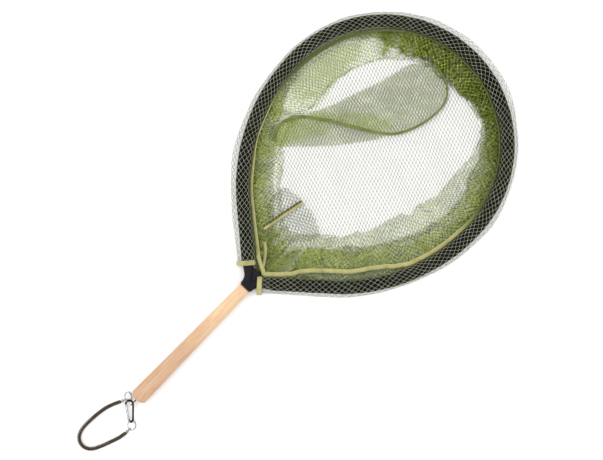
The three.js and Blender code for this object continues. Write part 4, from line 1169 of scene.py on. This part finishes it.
def flat_runs(outline, pitch, turn, crossing, height, sway, seed):
    """Threads of a net lying flat inside an outline: one way at turn degrees, and the other crossing it.
    They have a sample between crossings, and are thicker at the crossings."""
    centre = outline.mean(0)
    turn, crossing = math.radians(turn), math.radians(crossing)
    reach = int(np.linalg.norm(outline - centre, axis=1).max() / (pitch * math.sin(crossing))) + 3
    runs = []
    first = np.array([math.cos(turn), math.sin(turn)]) * pitch
    second = np.array([math.cos(turn + crossing), math.sin(turn + crossing)]) * pitch
    fine = np.arange(-2 * reach, 2 * reach + 1) / 2
    swell = np.where(fine % 1 == 0, AT_KNOT, BETWEEN_KNOTS)
    for along, across in ((first, second), (second, first)):
        for line in range(-reach, reach + 1):
            flat = centre + fine[:, None] * along + line * across
            sways = [ripple2(flat[:, 0], flat[:, 1], seed + k, 260, 60) for k in (0, 1)]
            flat = flat + sway * np.stack(sways, -1)
            for begin, end in stretches(inside_of(flat, outline)):
                if end - begin < 4:
                    continue
                part = flat[begin:end]
                z = height + 0.4 * ripple2(part[:, 0], part[:, 1], seed + 2, 120, 45)
                upward = np.tile([0.0, 0.0, 1.0], (end - begin, 1))
                runs.append((np.column_stack([part, z]), upward, swell[begin:end]))
    return runs


def flat_netting(name, layers, radius, material, node):
    """Layers of flat net as one piece, each an outline with pitch, turn, crossing, height, sway and seed."""
    runs = [run for outline, numbers in layers for run in flat_runs(outline, *numbers)]
    netting(name, runs, radius, 3, material, node)


floor_s = loop_stations(420)
floor_at, floor_in = rim_loop(floor_s)
floor_edge = floor_at + floor_in * keyed(floor_s, FLOOR_LIE)[:, None]
flat_netting("bag_floor_mesh", [
    (floor_edge, (5.8, 22, 55, 1.0, 1.2, 41)),
    *((outline_of(tuck, 60), (4.9, 28, 90, 2.0, 1.4, 44)) for tuck in TUCKS),
], FLOOR_THREAD, floor_thread, "bag_floor")

seam = smooth_line(np.array(SEAM_ROUTE, float) + np.array([THROAT_X, 0]), 160)
# Both outlines run along a part of the seam.
double = np.concatenate([seam[30:], FOLD_EDGE])
strip = np.concatenate([seam[:112], STRIP_EDGE])
flat_netting("bag_flap_mesh", [
    (double, (5.0, 20, 58, 2.7, 1.2, 51)),
    (double, (5.3, 33, 54, 3.7, 1.4, 54)),
    (outline_of(LOOSE_FOLD, 120), (5.6, 58, 62, 2.8, 1.6, 57)),
    (outline_of(DENSE_FOLD, 80), (5.4, 40, 57, 3.5, 1.4, 69)),
    (strip, (5.2, 17, 60, 2.2, 1.2, 60)),
    (strip, (5.4, 35, 56, 3.1, 1.2, 63)),
    *((np.array(gathered, float), (4.4, 26, 57, 4.6, 1.4, 66)) for gathered in GATHERS),
], FLAP_THREAD, flap_thread, "bag_flap")


# Bound tapes

def folded_section(width, thick, leaf):
    """The outline of a tape folded in half lengthwise, its fold at +x."""
    turn = np.linspace(math.pi / 2, -math.pi / 2, 7)
    bend = thick / 2

    def rounded(radius):
        return np.stack([width / 2 - bend + radius * np.cos(turn), radius * np.sin(turn)], -1)

    upper = np.stack([np.linspace(-width / 2, width / 2 - bend, 5)[:-1], np.full(4, bend)], -1)
    lower = upper[::-1] * np.array([1, -1])
    lower_in = lower[::-1] + np.array([0, leaf])
    upper_in = upper[::-1] - np.array([0, leaf])
    return np.concatenate([upper, rounded(bend), lower, lower_in, rounded(bend - leaf)[::-1], upper_in])


def tape_along(line, cut, tilt, fold_side, closed=False):
    """A folded tape along a line (n, 3) in mm, cut to a width, thickness and leaf.
    tilt turns it about the line, from lying flat."""
    along = headings(line, closed)
    along[:, 2] = 0
    across = level_across(unit(along)) * fold_side
    up = np.tile([0.0, 0.0, 1.0], (len(line), 1))
    c, s = np.cos(tilt)[:, None], np.sin(tilt)[:, None]
    across, up = across * c + up * s, up * c - across * s
    section = folded_section(*cut)
    rings = line[:, None] + across[:, None] * section[:, :1] + up[:, None] * section[:, 1:]
    run, girth = distances(line) * MM, distances(section) * MM
    uv = np.stack(np.broadcast_arrays(run[:, None], girth[None]), -1).reshape(-1, 2)
    return lofted(rings * MM, closed), uv, (line, across, up), run[-1]


def stitches(frames, offset, rise, length, gap, radius):
    """A row of short stitches on a tape's upper face."""
    line, across, up = frames
    path = line + across * offset + up * rise
    run = distances(path)
    parts = []
    for start in np.arange(0.5, run[-1] - length, length + gap):
        at = np.linspace(start, start + length, 4)
        lift = points_at(at, run, up)
        points = points_at(at, run, path) + lift * np.array([-0.25, 0.12, 0.12, -0.25])[:, None]
        parts.append(bar(points * MM, radius * MM, 4, lift))
    return gather(parts)


def bound_tape(
        name, line, cut, tilt, fold_side, material, node, closed=False, rows=(), sewing=None, spur=None):
    """A bound edge, with rows of stitches at those offsets, as sewing's (thread, radius, length, gap)
    says, and a loose end of tape along spur, if given."""
    width, thick, _ = cut
    part, uv, frames, length = tape_along(line, cut, tilt, fold_side, closed)
    if spur is not None:
        end, end_uv, _, _ = tape_along(spur, cut, np.full(len(spur), LOOSE_END_TILT), 1)
        part, uv = gather([part, end]), np.concatenate([uv, end_uv])
    piece = new_piece(name, *part, "net", material, uv)
    stand_in(piece, node)
    if rows:
        thread, radius, stitch, gap = sewing
        rise = thick / 2 + 0.4 * radius
        sewn = gather([stitches(frames, row, rise, stitch, gap, radius) for row in rows])
        sewn = new_piece(name + "_stitches", *sewn, "net", thread)


hem_s = loop_stations(400)
hem_at, hem_in = rim_loop(hem_s)
hem_tilt = np.radians(keyed(hem_s, HEM_TILT))
hem_flat = hem_at + hem_in * (hem_inset(hem_s) + 0.6 + 2.9 * np.cos(hem_tilt))[:, None]
hem_line = np.column_stack([hem_flat, hem_height(hem_s)])
bound_tape(
    "hem_tape_binding", hem_line, HEM_CUT, hem_tilt, 1, tape, "hem_tape", closed=True, rows=[-2.2],
    sewing=(stitch_thread, 0.2, 2.6, 0.9), spur=smooth_line(LOOSE_END, 24))

seam_line = np.column_stack([seam, 4.6 + 0.4 * ripple2(seam[:, 0], seam[:, 1], 71, 90, 30)])
seam_tilt = np.radians(np.interp(np.linspace(0, 1, len(seam)), [0, 0.5, 0.8, 1], [16, 20, 64, 72]))
bound_tape("flap_seam_binding", seam_line, SEAM_CUT, seam_tilt, -1, seam_tape, "flap_seam_tape")

tab = smooth_line(np.array(TAB_ROUTE, float) + np.array([THROAT_X, 0]), 60)
tab_line = np.column_stack([tab, np.linspace(11.0, 5.0, len(tab))])
tab_tilt = np.full(len(tab), math.radians(8))
# The tab's thick dark stitches are partly painted shade, between the tape's folds.
bound_tape(
    "side_seam_binding", tab_line, TAB_CUT, tab_tilt, -1, tape, "side_seam_tab", rows=[-2.7, -1.0],
    sewing=(stitch_and_shade_thread, 0.85, 4.4, 1.2))


def sleeve_binding(side, end, node):
    """The tape round a sleeve's end."""
    rows, width = 9, 7.6
    s = side * np.linspace(end - 0.9, end - 0.9 + width, rows)
    r, slack = FOAM_RADIUS + 1.1, 6.6
    section = outline_of([
        (-r, AXIS_Z), (-0.71 * r, AXIS_Z + 0.71 * r), (0, AXIS_Z + r),
        (0.71 * r + 0.3 * slack, AXIS_Z + 0.68 * r), (r + 0.8 * slack, AXIS_Z), (r + slack, 5.5),
        (0.71 * r + 0.6 * slack, 1.0), (0, 0.6), (-0.71 * r, 3.0)], 80)
    middle = section.mean(0)
    crown = 1 + 0.03 * np.sin(np.linspace(0, math.pi, rows))
    outer, inner = (
        hoop_tube(s, middle + (section - middle)[None] * (crown * share)[:, None, None], s[0])
        for share in (1, 0.955))
    verts, faces = lofted(np.concatenate([outer, inner[::-1]]), closed=True)
    girth = distances(section) * MM
    across = np.concatenate([np.linspace(0, width, rows), np.linspace(width, 0, rows)]) * MM
    uv = np.stack(np.broadcast_arrays(girth[None], across[:, None]), -1).reshape(-1, 2)
    piece = new_piece(node + "_tape", verts, faces if side > 0 else flipped(faces), "net", tape, uv)
    stand_in(piece, node)


sleeve_binding(1, SLEEVE_LEFT, "sleeve_binding_left")
sleeve_binding(-1, SLEEVE_RIGHT, "sleeve_binding_right")


# Floor, light and camera

MIDDLE = Vector((0.24, 0, 0))
FLOOR_LEVEL = -0.0006
SKY_STRENGTH = 1.2
FRAME_WIDTH = 0.93465
VIEW_CENTRE = (0.2459, -0.0003)
VIEW_TURN = math.radians(-45.8)
DISTANCE = 2.5
SENSOR = 36

bpy.ops.mesh.primitive_plane_add(size=12, location=(MIDDLE.x, 0, FLOOR_LEVEL))
ground = bpy.context.object
ground.name = "studio_floor"
white = Nodes("studio_white", 0.9, Specular_IOR_Level=0.1)
white.colour(white.ramp(white.noise(white.place(), 3, 2), (0.3, 0.88), (0.7, 0.9)))
ground.data.materials.append(white.material)

scene = bpy.context.scene
scene.world = bpy.data.worlds.new("studio")
scene.world.use_nodes = True
sky = scene.world.node_tree.nodes["Background"].inputs
sky["Color"].default_value = (1, 1, 1, 1)
sky["Strength"].default_value = SKY_STRENGTH
for name, place, size, power in (("key", (-0.5, 1.0, 2.2), 1.6, 22), ("fill", (1.4, -1.0, 2.0), 1.8, 11)):
    light = bpy.data.lights.new(name, "AREA")
    light.energy, light.size = power, size
    lamp = bpy.data.objects.new(name, light)
    lamp.location = place
    lamp.rotation_euler = (MIDDLE - Vector(place)).to_track_quat("-Z", "Y").to_euler()
    scene.collection.objects.link(lamp)
scene.view_settings.view_transform = "Standard"

camera = bpy.data.cameras.new("camera")
camera.sensor_width = SENSOR
camera.lens = SENSOR * DISTANCE / FRAME_WIDTH
camera.clip_end = 20
viewer = bpy.data.objects.new("camera", camera)
viewer.location = (*VIEW_CENTRE, DISTANCE + AXIS_Z * MM)
viewer.rotation_euler = (0, 0, VIEW_TURN)
scene.collection.objects.link(viewer)
scene.camera = viewer
